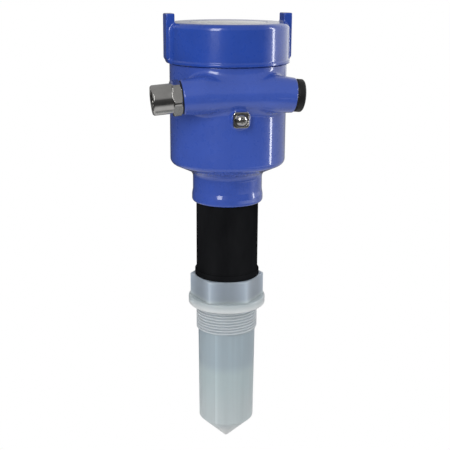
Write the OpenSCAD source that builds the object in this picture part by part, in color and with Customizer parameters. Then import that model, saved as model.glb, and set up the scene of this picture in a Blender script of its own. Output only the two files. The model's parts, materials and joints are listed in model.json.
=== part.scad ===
// Radar level transmitter with an encapsulated antenna.
// Millimetres, Z up along the axis of the antenna. The origin is the centre of
// the sealing face under the flange. The cable gallery and the ground terminal
// are on the -Y side, which is the front. The blind plug is at the +X end of
// the gallery, and the neck's lock screws are at the back.

/* [Process fitting] */
// Major diameter of the process thread, G 1 1/2
thread_d = 47.8; // [46:0.1:54]
// Length of the process thread below the flange
thread_len = 21.2; // [14:0.1:30]
// Diameter of the sealing flange
flange_d = 60; // [58:0.5:74]
// Thickness of the sealing flange
flange_t = 6.6; // [4:0.1:10]
// Width of the spanner hexagon across its flats
hex_af = 50; // [48:0.5:54]
// Height of the spanner hexagon
hex_h = 17.3; // [15:0.1:24]
// Diameter of the antenna rod just below the thread
antenna_d = 44.8; // [43:0.1:45.8]
// Diameter of the antenna rod where its tip begins
antenna_end_d = 43.4; // [42:0.1:44.6]
// Length from the sealing face to the start of the tip
antenna_len = 97.1; // [80:0.1:140]
// Included angle of the tip
tip_angle = 92; // [75:1:120]
// Radius at the point of the tip
tip_r = 2; // [1:0.1:4]
// Wall of the antenna rod at its lower end
antenna_wall = 3.5; // [2.5:0.1:4.5]

/* [Horn] */
// Depth of the horn mouth below the sealing face
horn_len = 56; // [40:0.5:70]
// Wall of the horn at its mouth
horn_wall = 1.6; // [1:0.1:2.5]
// Thickness of the clamped flange on top of the horn
horn_flange_t = 2; // [1.5:0.1:3]
// Diameter of the waveguide above the flare
waveguide_d = 8; // [5:0.1:10]
// Height of the lens dome under the horn mouth
lens_h = 4; // [2:0.1:7]
// Length of the lens's taper inside the waveguide
lens_tip_len = 8; // [4:0.5:12]

/* [Sleeve] */
// Outer diameter of the sleeve
sleeve_d = 47.5; // [47:0.1:51]
// Visible length of the sleeve, from the hexagon to the neck
sleeve_len = 58.5; // [54:0.5:90]
// Wall of the sleeve tube
sleeve_wall = 3; // [2:0.1:3.2]
// Diameter of the collar at the foot of the sleeve
sleeve_foot_d = 49.8; // [49:0.1:54]
// Height of the collar at the foot of the sleeve
sleeve_foot_h = 4.6; // [3:0.1:7]
// Diameter of the spigot that screws into the fitting
sleeve_spigot_d = 40; // [38.5:0.1:41]
// Length of the spigot that screws into the fitting
sleeve_spigot_len = 14; // [12:0.1:16]
// Wall of that spigot
sleeve_spigot_wall = 3; // [2.2:0.1:3.5]
// Thickness of the step inside the sleeve, above the spigot
sleeve_web_t = 2; // [1.5:0.1:4]

/* [Microwave module] */
// Height of the microwave module above the sleeve's inner shoulder
rf_can_h = 26; // [18:0.5:32]
// Thickness of the sheet that the module's can is drawn from
rf_can_t = 1; // [0.6:0.1:1.5]
// Thickness of the module's lid
rf_lid_t = 2; // [1:0.1:3]
// Width of the square shield on the module's board
shield_w = 18; // [12:0.5:22]
// Height of that shield
shield_h = 5; // [3:0.1:7]
// Diameter of the launcher under the board
launcher_d = 14; // [10:0.5:20]
// Diameter of the signal lead
lead_d = 6; // [4:0.1:7]

/* [Swivel] */
// Diameter of the swivel spigot inside the neck
swivel_d = 44; // [43:0.1:45]
// Wall of the swivel spigot
swivel_wall = 4; // [3.4:0.1:5]
// Length of the swivel spigot inside the sleeve
swivel_engage = 14; // [8:0.5:18]
// Radial running clearance of the swivel
swivel_gap = 0.1; // [0.05:0.01:0.1]
// Thread diameter of the two neck lock screws
lock_screw_d = 5; // [4:0.1:6]
// Height of the lock screws above the underside of the neck
lock_screw_z = 4.6; // [4:0.1:5.5]
// Angle of each lock screw from the middle of the back
lock_screw_angle = 30; // [20:1:60]
// Depth of the groove that the lock screws press on
lock_groove_depth = 1.5; // [1:0.1:2]
// Depth of the key sockets in the lock screws
lock_socket_depth = 2.4; // [1.5:0.1:3]
// Radial width of the ledge that the retaining ring bears on
clip_ledge = 2.6; // [2:0.1:3.5]
// Depth of the retaining ring's groove
clip_groove_depth = 1.2; // [0.8:0.1:1.6]
// Thickness of the retaining ring
retaining_ring_t = 1.5; // [1:0.1:2]
// Section of the two spigot O-rings
spigot_oring_d = 2.4; // [1.8:0.1:2.8]

/* [Housing] */
// Outer diameter of the housing
body_d = 86.5; // [86:0.5:96]
// Diameter of the cavity
cavity_d = 72; // [71:0.5:73]
// Length of the straight wall from the shoulder to the cover
body_h = 73.5; // [70:0.5:95]
// Diameter of the neck
neck_d = 52.6; // [52:0.1:56]
// Diameter of the collar at the foot of the neck
collar_d = 54; // [53:0.1:58]
// Height of the collar at the foot of the neck
collar_h = 9.6; // [9:0.1:12]
// Length of the neck from its underside to the shoulder
neck_len = 22.9; // [20:0.1:30]
// Rise of the sloping shoulder between neck and wall
shoulder_h = 7.7; // [7:0.1:14]
// Thickness of the sloping floor
floor_t = 5; // [4:0.1:6]
// Fillet between the neck and the shoulder
shoulder_fillet_r = 3.5; // [2:0.5:8]
// Rounding between the shoulder and the wall
shoulder_edge_r = 2.5; // [1:0.5:5]
// Rounding around the foot of the collar
collar_foot_r = 2.2; // [1:0.1:3]
// Height of the collar's upper bevel
collar_bevel_h = 4; // [0.8:0.1:5]

/* [Cable gallery] */
// Distance of the gallery's axis in front of the housing's axis
gallery_offset = 37; // [35:0.5:39]
// Height of the gallery's axis above the shoulder's outer edge
gallery_rise = 54.7; // [51:0.1:60]
// Outer diameter of the gallery across the front
gallery_d = 25.4; // [24.6:0.1:28]
// Distance from the middle of the gallery to each entry face
gallery_reach = 40.3; // [39:0.1:48]
// Diameter of each entry boss at its root
entry_root_d = 27.4; // [27:0.1:30]
// Diameter of each entry boss at its face
entry_face_d = 24.8; // [24:0.1:27]
// Distance from the middle of the gallery to the root of each entry boss
entry_pivot = 25; // [23:0.5:26]
// Length over which each boss swells out of the gallery
entry_swell_len = 12; // [8:0.5:16]
// Slope of each entry, downwards and outwards
entry_tilt = 5; // [0:0.5:8]
// Thread diameter of the entries, M20
entry_d = 20; // [18:0.5:21]
// Depth of the entry threads
entry_depth = 13; // [12:0.5:16]
// Diameter of the wire passage behind the threads
passage_d = 17; // [14:0.5:18]

/* [Entry fittings] */
// Width of the conduit adapter's hexagon across its flats
adapter_af = 23; // [22:0.5:28]
// Length of the conduit adapter's hexagon
adapter_hex_len = 6.2; // [5:0.1:12]
// Diameter of the conduit adapter's barrel
adapter_d = 21.1; // [20.5:0.1:24]
// Length of the conduit adapter's barrel
adapter_len = 14; // [12.5:0.5:20]
// Diameter of the threaded hole in the open end of the adapter
adapter_thread_d = 18.6; // [16:0.1:19]
// Depth of the threaded hole in the open end of the adapter
adapter_thread_depth = 12; // [8:0.5:16]
// Diameter of the bore through the adapter
adapter_bore_d = 13; // [10:0.5:14]
// Diameter of the blind plug's head
plug_d = 23.4; // [22:0.1:26]
// Length of the blind plug's head
plug_head_len = 5.2; // [4:0.1:8]
// Width of the key socket in the blind plug's head
plug_key_af = 8; // [5:0.5:10]
// Depth of that key socket
plug_key_depth = 4; // [3:0.1:4.5]
// Length of the plug's thread inside the housing
plug_stem_len = 10; // [8:0.5:11]
// Thickness of the seals under the adapter and the plug
entry_seal_t = 1; // [0.5:0.1:1.5]

/* [Ground terminal] */
// Height of the ground terminal above the shoulder's outer edge
ground_rise = 38; // [32:0.5:39]
// Diameter of the ground boss
ground_boss_d = 14; // [13:0.5:16]
// Distance that the ground boss stands out from the wall
ground_boss_h = 2.6; // [2:0.1:4]
// Width of the square wire clamp
clamp_w = 11.6; // [10:0.1:12]
// Thickness of the wire clamp's plate
clamp_t = 1.4; // [1:0.1:2]
// Depth of the flange that is bent up around the clamp's plate
clamp_flange_h = 1.2; // [0.8:0.1:2]
// Thread diameter of the ground screw
ground_screw_d = 4; // [3:0.5:5]
// Diameter of the ground screw's head
ground_head_d = 8; // [7:0.1:9]
// Height of the ground screw's domed head
ground_head_h = 3; // [2:0.1:4]
// Height of the straight rim under the dome
ground_head_rim = 0.8; // [0.4:0.1:1.2]
// Width of the slots in the head
ground_slot_w = 1.1; // [0.8:0.1:1.5]
// Depth of the slots in the head
ground_slot_depth = 1.3; // [0.8:0.1:1.8]
// Length of the short cross slot
ground_cross_len = 4.4; // [3:0.1:6]
// Length of the ground screw's shank behind the boss face
ground_shank_len = 9; // [6:0.5:10]

/* [Cover] */
// Outer diameter of the cover
cover_d = 88.5; // [88:0.5:98]
// Height of the cover
cover_h = 28.9; // [28:0.1:34]
// Diameter of the thread between cover and housing
cover_thread_d = 81; // [80:0.1:81.5]
// Length of the thread above the housing's wall
cover_thread_len = 13.2; // [12:0.1:15]
// Gap between the housing's wall and the cover
cover_gap = 0.4; // [0.3:0.1:1]
// Height of the lip around the foot of the cover
cover_lip_h = 3; // [2:0.1:5]
// Distance that the lip stands out from the cover
cover_lip = 1; // [0.2:0.1:1.5]
// Distance of the lugs' outer faces from the axis
lug_reach = 47.7; // [46:0.1:54]
// Radial depth of the lugs above the rim
lug_depth = 6.5; // [4:0.1:6.5]
// Width of the lugs along the rim
lug_w = 11; // [8:0.5:16]
// Distance that the lugs stand above the rim
lug_h = 6.4; // [4:0.1:10]
// Distance of the lugs' feet above the foot of the cover
lug_foot = 1; // [1:0.1:5]
// Chamfer at the lugs' feet
lug_chamfer = 2.6; // [1:0.1:4]
// Angle of the lugs from the gallery's direction when the cover is tight
lug_angle = 5.2; // [-45:0.1:45]
// Section of the cover's O-ring
cover_oring_d = 2.6; // [2:0.1:3]

/* [Window] */
// Diameter of the opening over the glass
window_d = 57; // [46:0.5:58]
// Diameter of the glass at its rim
glass_d = 62; // [60:0.5:64]
// Thickness of the glass at its rim
glass_t = 6; // [4:0.5:7]
// Thickness of each gasket
gasket_t = 1; // [0.5:0.1:1.5]
// Radial width of each gasket
gasket_w = 2.5; // [1.5:0.1:3.5]
// Thickness of the cover's rim over the glass
rim_t = 3; // [2:0.1:4]
// Radial step between the glass and the retaining ring's thread
retainer_step = 1; // [0.8:0.1:2]
// Radial width of the retaining ring under the glass
retainer_w = 4; // [3:0.1:5]
// Width of the four key notches in the retaining ring
retainer_notch_w = 3; // [2:0.1:4]

/* [Electronics] */
// Diameter of the electronics cup
cup_d = 68; // [66:0.5:70]
// Height of the electronics cup
cup_h = 38; // [30:0.5:39]
// Wall of the electronics cup
cup_wall = 2; // [1.5:0.1:2.5]
// Height of the two floor bosses above the edge of the floor
floor_boss_h = 4; // [3:0.5:6]
// Distance of the module screws from the axis
module_screw_r = 28; // [26:0.5:28.5]
// Thread diameter of the module screws
module_screw_d = 3; // [2.5:0.1:3.5]
// Height of the main board above the foot of the cup
main_board_rise = 15; // [10:0.5:20]
// Thickness of the circuit boards
board_t = 1.6; // [1:0.1:2]
// Width of the transformer on the main board
transformer_w = 18; // [14:0.5:20]
// Depth of the transformer from front to back
transformer_depth = 14; // [10:0.5:16]
// Height of the transformer
transformer_h = 11; // [8:0.5:14]
// Diameter of the two capacitors
capacitor_d = 8; // [6:0.5:10]
// Height of the two capacitors
capacitor_h = 12; // [8:0.5:16]
// Width of the three square chips
chip_w = 6; // [4:0.5:7]
// Height of the chips
chip_h = 1.2; // [0.8:0.1:2]
// Thickness of the terminal plate
plate_t = 3; // [2:0.1:4]
// Height of the terminal block
block_h = 12; // [9:0.5:15]
// Depth of the terminal block from front to back
block_depth = 10; // [8:0.5:12]
// Distance of the terminal block in front of the axis
block_row = 21; // [19:0.5:23]
// Distance between neighbouring terminals
terminal_pitch = 7.5; // [6:0.1:8]
// Height of the posts under the display
post_h = 21; // [18:0.5:24]
// Diameter of the posts
post_d = 6; // [4:0.5:8]
// Distance of the posts from the axis
post_r = 26; // [24:0.5:28]
// Height of the pin header behind the terminals
header_h = 8; // [6:0.5:12]
// Width of the pin header from front to back
header_w = 5; // [4:0.5:7]
// Distance of the pin header behind the axis
header_row = 15; // [12:0.5:18]
// Distance between neighbouring pins
pin_pitch = 3; // [2.4:0.1:4]
// Diameter of the pins
pin_d = 1.4; // [1:0.1:1.8]

/* [Display] */
// Diameter of the display module
display_d = 66; // [65:0.5:69]
// Height of the display module
display_h = 15; // [14:0.1:16]
// Wall of the display module's case
display_wall = 2; // [1.5:0.1:2.5]
// Width of the display's window
screen_w = 38; // [30:0.5:42]
// Height of the display's window across the face
screen_h = 22; // [16:0.5:24]
// Distance of the display's window behind the axis
screen_shift = 7; // [5:0.5:9]
// Width that the display glass extends under the case
lcd_margin = 2; // [1:0.1:3]
// Diameter of the keys
key_d = 6; // [5:0.1:7]
// Distance between neighbouring keys
key_pitch = 12; // [11:0.5:13]
// Distance of the row of keys in front of the axis
key_row = 19; // [18:0.5:21]
// Distance that the keys stand above the face
key_proud = 1.2; // [1:0.1:2]
// Travel of the keys
key_travel = 0.8; // [0.4:0.1:1]

/* [Hidden] */
$fn = 96;
// Clearance between curved faces of pieces that move past each other
moving_gap = 0.3;
// Clearance between pieces that are seated in each other
seat_gap = 0.1;
// Overlap that makes a cut run clear through a face
cut = 1;
// Lead-in chamfer of threads and turned edges
lead_in = 1;
// Chamfer of small screw points and key caps
point_bevel = 0.8;
// Extra width of an O-ring's groove
oring_room = 0.3;

// Levels of the fitting and of what is screwed into it
hex_top = flange_t + hex_h;
spigot_end = hex_top - sleeve_spigot_len;
horn_seat = spigot_end - horn_flange_t;
hex_trim_d = flange_d - 3;
hex_turn = -9.2;
tip_h = (antenna_end_d / 2) / tan(tip_angle / 2);
fitting_bore_d = antenna_end_d - 2 * antenna_wall;
fitting_bore_end = -antenna_len + antenna_wall;
fitting_socket_d = sleeve_spigot_d + 2 * seat_gap;
horn_d = fitting_bore_d - 2 * seat_gap;
horn_mouth_d = horn_d - 2 * horn_wall;
flare_top = -6;
fitting_oring_d = 2.4;
fitting_oring_z = hex_top - 4;

// Levels of the sleeve, the module in it and the swivel
sleeve_shoulder = hex_top + sleeve_web_t;
sleeve_top = hex_top + sleeve_len;
sleeve_bore_d = sleeve_d - 2 * sleeve_wall;
spigot_bore_d = sleeve_spigot_d - 2 * sleeve_spigot_wall;
rf_foot_d = spigot_bore_d - 2 * seat_gap;
rf_can_d = sleeve_bore_d - 2 * seat_gap;
rf_can_top = sleeve_shoulder + rf_can_h;
rf_board_z = sleeve_shoulder + rf_can_t;
swivel_bore_d = swivel_d - 2 * swivel_wall;
swivel_foot_d = sleeve_bore_d - 2 * seat_gap;
swivel_foot = sleeve_top - swivel_engage;

// Levels of the housing
neck_foot = sleeve_top + moving_gap;
neck_bore_d = swivel_d + 2 * swivel_gap;
shoulder_low = neck_foot + neck_len;
shoulder_top = shoulder_low + shoulder_h;
body_top = shoulder_top + body_h;
thread_top = body_top + cover_thread_len;
shoulder_run = (body_d - neck_d) / 2;
shoulder_angle = atan(shoulder_h / shoulder_run);
floor_lift = floor_t / cos(shoulder_angle);
clip_seat_d = swivel_d + 2 * clip_ledge;
clip_room = 3;
floor_low = shoulder_low + (clip_seat_d - neck_d) / 2 * tan(shoulder_angle) + floor_lift;
floor_edge = shoulder_low + (cavity_d - neck_d) / 2 * tan(shoulder_angle) + floor_lift;
clip_seat = floor_low - clip_room;

// Swivel details that follow the neck
lock_z = neck_foot + lock_screw_z;
lock_groove_w = lock_screw_d + 1.4;
lock_groove_r = swivel_d / 2 - lock_groove_depth;
lock_tip_r = lock_groove_r + moving_gap;
lock_head_r = collar_d / 2 - moving_gap;
retaining_ring_z = clip_seat + moving_gap;
retaining_ring_d = clip_seat_d - 4 * moving_gap;
clip_eye_d = 1.2;
clip_eye_angle = 8;
clip_opening = 4;
swivel_top = retaining_ring_z + retaining_ring_t + 1.6;
oring_groove_w = spigot_oring_d + oring_room;
spigot_oring_low = lock_z + lock_groove_w / 2 + 3.6;
spigot_oring_high = spigot_oring_low + oring_groove_w + 2.2;

// Gallery, entries and ground terminal
gallery_z = shoulder_top + gallery_rise;
entry_len = (gallery_reach - entry_pivot) / cos(entry_tilt);
entry_swell_d = gallery_d - 3;
adapter_hex_turn = 12;
seal_squeeze = 0.05;
ground_z = shoulder_top + ground_rise;
ground_face = body_d / 2 + ground_boss_h;
ground_hole_depth = ground_shank_len + 2;
washer_t = 1;
washer_split = 0.8;

// Cover and window, from the top down
cover_foot = body_top + cover_gap;
cover_top = cover_foot + cover_h;
cover_bore_d = cover_thread_d + 2 * moving_gap;
cover_round_r = 4;
gasket_high = cover_top - rim_t - gasket_t;
glass_z = gasket_high - glass_t;
gasket_low = glass_z - gasket_t;
glass_face_d = min(window_d - 2 * moving_gap, glass_d - 2 * gasket_w - 2 * seat_gap);
glass_face_z = cover_top - 0.2;
glass_bevel = 0.4;
hub_foot = thread_top + 0.6;
retainer_d = glass_d + 2 * retainer_step;
retainer_t = gasket_low - hub_foot;
retainer_notch_depth = 2;
oring_path_d = (cover_thread_d + cavity_d) / 2 - 2 * moving_gap;
oring_groove_depth = cover_oring_d + oring_room;
lug_sink = 2;

// Electronics, from the floor up
cup_foot = floor_edge + floor_boss_h;
cup_top = cup_foot + cup_h;
cup_base_t = 2.5;
cup_ledge_w = 2;
pillar_d = module_screw_d + 6;
boss_tap_depth = 7;
main_board_z = cup_foot + main_board_rise;
plate_top = cup_top + plate_t;
terminal_count = 4;
wire_hole_rise = 3.5;
wire_hole_depth = 7;
screw_well_depth = 4;
header_z = plate_top + header_h;
pin_count = 4;
post_angles = [90, 215, 325];
module_screw_len = plate_t + cup_h + 6;
module_head_h = 2.4;
slot_w = 1;
slot_depth = 1.2;

// Display, above its posts
display_z = plate_top + post_h;
display_top = display_z + display_h;
case_under = display_top - display_wall;
display_board_top = display_z + board_t;
display_board_d = display_d - 2 * display_wall - 2 * seat_gap;
key_flange_d = key_d + 2.4;
key_flange_t = 1.6;
key_flange_z = case_under - moving_gap - key_flange_t;
key_foot = key_flange_z - 2;
key_bevel = 0.6;
switch_w = 5;
switch_d = 3;
switch_top = key_foot - key_travel - 0.2;

// ---- Helpers -------------------------------------------------------------

// Points of an arc about c from angle a to angle b, in n steps
function arc(c, r, a, b, n = 6) =
    [for (i = [0 : n]) c + r * [cos(a + (b - a) * i / n), sin(a + (b - a) * i / n)]];

// A plain ring standing on z
module ring(d_out, d_in, h, z) {
    translate([0, 0, z])
        difference() {
            cylinder(d = d_out, h = h);
            translate([0, 0, -cut]) cylinder(d = d_in, h = h + 2 * cut);
        }
}

// An O-ring with its outer diameter and its middle height
module oring(d_out, section, z) {
    translate([0, 0, z])
        rotate_extrude() translate([(d_out - section) / 2, 0]) circle(d = section);
}

// Places children at an entry face, with +X out along the entry
module at_entry(side) {
    mirror([side < 0 ? 1 : 0, 0, 0])
        translate([entry_pivot, -gallery_offset, gallery_z])
            rotate([0, entry_tilt, 0])
                translate([entry_len, 0, 0]) children();
}

// Places children at a neck lock screw, with +X out of the neck
module at_lock(side) {
    translate([0, 0, lock_z]) rotate([0, 0, 90 - side * lock_screw_angle]) children();
}

// Places children on the ground boss, with +Z out of the housing
module at_ground(out) {
    translate([0, -ground_face - out, ground_z]) rotate([90, 0, 0]) children();
}

// Cylinder along +X that starts at x
module rod_x(d, len, x = 0) {
    translate([x, 0, 0]) rotate([0, 90, 0]) cylinder(d = d, h = len);
}

// Cone along +X that starts at x
module cone_x(d1, d2, len, x = 0) {
    translate([x, 0, 0]) rotate([0, 90, 0]) cylinder(d1 = d1, d2 = d2, h = len);
}

// ---- Process fitting, horn and sleeve ------------------------------------

// Thread, rod and rounded tip
function fitting_points() =
    let (half = tip_angle / 2, tip_z = -antenna_len - tip_h, round_z = tip_z + tip_r / sin(half))
    concat(
        [[0, 0], [thread_d / 2, 0], [thread_d / 2, -thread_len + lead_in],
         [thread_d / 2 - lead_in, -thread_len], [antenna_d / 2, -thread_len],
         [antenna_end_d / 2, -antenna_len]],
        arc([0, round_z], tip_r, -half, -90, 5)
    );

// Room for the horn, open upwards into the socket for the sleeve
function fitting_bore_points() =
    let (cone_h = tip_h - antenna_wall, point_r = 1)
    [[0, fitting_bore_end - cone_h], [point_r, fitting_bore_end - cone_h],
     [fitting_bore_d / 2, fitting_bore_end], [fitting_bore_d / 2, horn_seat],
     [fitting_socket_d / 2, horn_seat], [fitting_socket_d / 2, hex_top + cut], [0, hex_top + cut]];

module process_fitting() {
    color("gainsboro")
    difference() {
        union() {
            rotate_extrude() polygon(fitting_points());
            cylinder(d = flange_d, h = flange_t);
            intersection() {
                rotate([0, 0, hex_turn]) cylinder(d = hex_af / cos(30), h = hex_top, $fn = 6);
                cylinder(d = hex_trim_d, h = hex_top);
            }
        }
        rotate_extrude() polygon(fitting_bore_points());
    }
}

// Conical horn with its waveguide and the flange that is clamped by the sleeve
module antenna_horn() {
    color("silver")
    rotate_extrude()
        polygon([
            [horn_mouth_d / 2, -horn_len], [horn_d / 2, -horn_len], [horn_d / 2, horn_seat],
            [sleeve_spigot_d / 2, horn_seat], [sleeve_spigot_d / 2, spigot_end],
            [waveguide_d / 2, spigot_end], [waveguide_d / 2, flare_top]
        ]);
}

// Dielectric cone that fills the flare and ends in a shallow dome
module horn_lens() {
    mouth_r = horn_mouth_d / 2 - seat_gap;
    dome_r = (mouth_r * mouth_r + lens_h * lens_h) / (2 * lens_h);
    half = asin(mouth_r / dome_r);
    throat = horn_len + flare_top;
    color("white")
    translate([0, 0, -horn_len])
        rotate_extrude()
            polygon(concat(
                arc([0, dome_r - lens_h], dome_r, -90, -90 + half, 8),
                [[waveguide_d / 2 - seat_gap, throat], [0, throat + lens_tip_len]]
            ));
}

module fitting_oring() {
    color("dimgray") oring(sleeve_spigot_d, fitting_oring_d, fitting_oring_z);
}

module adapter_sleeve() {
    groove_d = sleeve_spigot_d - 2 * fitting_oring_d - 2 * seat_gap;
    groove_w = fitting_oring_d + oring_room;
    color("#1b1b1d")
    difference() {
        rotate_extrude()
            polygon([
                [spigot_bore_d / 2, spigot_end], [sleeve_spigot_d / 2, spigot_end],
                [sleeve_spigot_d / 2, hex_top], [sleeve_foot_d / 2, hex_top],
                [sleeve_foot_d / 2, hex_top + sleeve_foot_h], [sleeve_d / 2, hex_top + sleeve_foot_h],
                [sleeve_d / 2, sleeve_top], [sleeve_bore_d / 2, sleeve_top],
                [sleeve_bore_d / 2, sleeve_shoulder], [spigot_bore_d / 2, sleeve_shoulder]
            ]);
        ring(sleeve_spigot_d + cut, groove_d, groove_w, fitting_oring_z - groove_w / 2);
    }
}

// ---- Microwave module ------------------------------------------------------

// Stepped can, drawn from sheet and open at the top
module rf_can() {
    color("lightgray")
    rotate_extrude()
        polygon([
            [waveguide_d / 2, spigot_end], [rf_foot_d / 2, spigot_end],
            [rf_foot_d / 2, sleeve_shoulder], [rf_can_d / 2, sleeve_shoulder],
            [rf_can_d / 2, rf_can_top - rf_lid_t], [rf_can_d / 2 - rf_can_t, rf_can_top - rf_lid_t],
            [rf_can_d / 2 - rf_can_t, rf_board_z], [rf_foot_d / 2 - rf_can_t, rf_board_z],
            [rf_foot_d / 2 - rf_can_t, spigot_end + rf_can_t], [waveguide_d / 2, spigot_end + rf_can_t]
        ]);
}

// Board with its shielded front end and the launcher that enters the waveguide
module rf_board() {
    color("darkgreen") {
        translate([0, 0, rf_board_z]) cylinder(d = rf_can_d - 2 * rf_can_t - 2 * seat_gap, h = board_t);
        translate([-shield_w / 2, -shield_w / 2, rf_board_z + board_t]) cube([shield_w, shield_w, shield_h]);
        translate([0, 0, spigot_end + rf_can_t]) cylinder(d = launcher_d, h = sleeve_shoulder - spigot_end);
    }
}

module rf_lid() {
    color("lightgray")
    ring(rf_can_d, lead_d + 2 * seat_gap, rf_lid_t, rf_can_top - rf_lid_t);
}

module signal_lead() {
    start = rf_board_z + board_t + shield_h;
    color("#303034")
    translate([0, 0, start]) cylinder(d = lead_d, h = cup_foot + cup_base_t - start);
}

// ---- Swivel ---------------------------------------------------------------

module swivel_spigot() {
    groove_bottom = swivel_d - 2 * spigot_oring_d - 2 * seat_gap;
    clip_groove_w = retaining_ring_t + seat_gap;
    color("silver")
    difference() {
        rotate_extrude()
            polygon([
                [swivel_bore_d / 2, swivel_foot], [swivel_foot_d / 2, swivel_foot],
                [swivel_foot_d / 2, sleeve_top], [swivel_d / 2, sleeve_top],
                [swivel_d / 2, swivel_top], [swivel_bore_d / 2, swivel_top]
            ]);
        ring(swivel_d + cut, 2 * lock_groove_r, lock_groove_w, lock_z - lock_groove_w / 2);
        for (z = [spigot_oring_low, spigot_oring_high])
            ring(swivel_d + cut, groove_bottom, oring_groove_w, z - oring_groove_w / 2);
        ring(swivel_d + cut, swivel_d - 2 * clip_groove_depth, clip_groove_w,
             retaining_ring_z - seat_gap / 2);
    }
}

module spigot_oring_lower() {
    color("dimgray") oring(swivel_d, spigot_oring_d, spigot_oring_low);
}

module spigot_oring_upper() {
    color("dimgray") oring(swivel_d, spigot_oring_d, spigot_oring_high);
}

// Open ring with two eyes for the pliers
module retaining_ring() {
    inner = swivel_d - 2 * clip_groove_depth + seat_gap;
    through = retaining_ring_t + 2 * cut;
    color("slategray")
    difference() {
        ring(retaining_ring_d, inner, retaining_ring_t, retaining_ring_z);
        translate([0, 0, retaining_ring_z - cut]) linear_extrude(through)
            polygon([[0, 0], [clip_opening, retaining_ring_d], [-clip_opening, retaining_ring_d]]);
        for (side = [-1, 1])
            rotate([0, 0, side * clip_eye_angle])
                translate([0, (inner + retaining_ring_d) / 4, retaining_ring_z - cut])
                    cylinder(d = clip_eye_d, h = through, $fn = 24);
    }
}

// A set screw along +X with a hexagon socket in its outer end
module lock_screw(side) {
    len = lock_head_r - lock_tip_r;
    color("gainsboro")
    at_lock(side)
        difference() {
            union() {
                rod_x(lock_screw_d, len - point_bevel, lock_tip_r + point_bevel);
                cone_x(lock_screw_d - 2 * point_bevel, lock_screw_d, point_bevel, lock_tip_r);
            }
            translate([lock_head_r - lock_socket_depth, 0, 0]) rotate([0, 90, 0])
                cylinder(d = lock_screw_d / 2 / cos(30), h = lock_socket_depth + cut, $fn = 6);
        }
}

module lock_screw_left() { lock_screw(-1); }

module lock_screw_right() { lock_screw(1); }

// ---- Housing casting -------------------------------------------------------

// Outer form of the casting: collar, neck, shoulder, wall and cover thread
function housing_points() =
    let (neck_r = neck_d / 2, body_r = body_d / 2, collar_r = collar_d / 2, thread_r = cover_thread_d / 2,
         half = (90 - shoulder_angle) / 2,
         low_z = shoulder_low - shoulder_fillet_r * tan(half),
         top_z = shoulder_top + shoulder_edge_r * tan(half))
    concat(
        [[0, neck_foot]],
        arc([collar_r - collar_foot_r, neck_foot + collar_foot_r], collar_foot_r, -90, 0, 4),
        [[collar_r, neck_foot + collar_h - collar_bevel_h], [neck_r, neck_foot + collar_h]],
        arc([neck_r + shoulder_fillet_r, low_z], shoulder_fillet_r, 180, 90 + shoulder_angle, 5),
        arc([body_r - shoulder_edge_r, top_z], shoulder_edge_r, -90 + shoulder_angle, 0, 4),
        [[body_r, body_top], [thread_r, body_top], [thread_r, thread_top - lead_in],
         [thread_r - lead_in, thread_top], [0, thread_top]]
    );

// Everything that is hollow about the axis
function cavity_points() =
    [[0, neck_foot - cut], [neck_bore_d / 2, neck_foot - cut],
     [neck_bore_d / 2, clip_seat], [clip_seat_d / 2, clip_seat],
     [clip_seat_d / 2, floor_low], [cavity_d / 2, floor_edge],
     [cavity_d / 2, thread_top + cut], [0, thread_top + cut]];

// Straight middle of the gallery with a sloping boss at each end. Each boss
// swells out of the middle and then tapers to its face.
module gallery_form() {
    translate([0, -gallery_offset, gallery_z]) rod_x(gallery_d, 2 * entry_pivot, -entry_pivot);
    for (side = [-1, 1])
        at_entry(side) {
            cone_x(entry_root_d, entry_face_d, entry_len, -entry_len);
            cone_x(entry_swell_d, entry_root_d, entry_swell_len, -entry_len - entry_swell_len);
        }
}

// Threaded entries and the wire passage that joins them to the cavity
module gallery_bores() {
    translate([0, -gallery_offset, gallery_z]) rod_x(passage_d, 2 * entry_pivot, -entry_pivot);
    for (side = [-1, 1])
        at_entry(side) {
            rod_x(entry_d, entry_depth + cut, -entry_depth);
            rod_x(passage_d - 1, entry_len + 2 * cut, -entry_len - 2 * cut);
        }
}

module ground_boss() {
    at_ground(0) translate([0, 0, -ground_face + cavity_d / 2 + 1])
        cylinder(d = ground_boss_d, h = ground_face - cavity_d / 2 - 1);
}

module housing_body() {
    color("#3c56b0") {
        difference() {
            union() {
                rotate_extrude() polygon(housing_points());
                gallery_form();
                ground_boss();
            }
            rotate_extrude() polygon(cavity_points());
            gallery_bores();
            at_ground(0) translate([0, 0, -ground_hole_depth])
                cylinder(d = ground_screw_d + 2 * moving_gap, h = ground_hole_depth + cut, $fn = 32);
            for (side = [-1, 1])
                at_lock(side) rod_x(lock_screw_d + 2 * moving_gap, collar_d / 2, swivel_d / 2 - 1, $fn = 48);
        }
        floor_bosses();
    }
}

// Two tapped bosses that carry the electronics cup
module floor_bosses() {
    foot = floor_low + 0.6;
    for (side = [-1, 1])
        translate([side * module_screw_r, 0, foot])
            difference() {
                cylinder(d = pillar_d, h = cup_foot - foot, $fn = 48);
                translate([0, 0, cup_foot - foot - boss_tap_depth])
                    cylinder(d = module_screw_d + 2 * seat_gap, h = boss_tap_depth + cut, $fn = 32);
            }
}

// ---- Entry fittings -------------------------------------------------------

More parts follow.
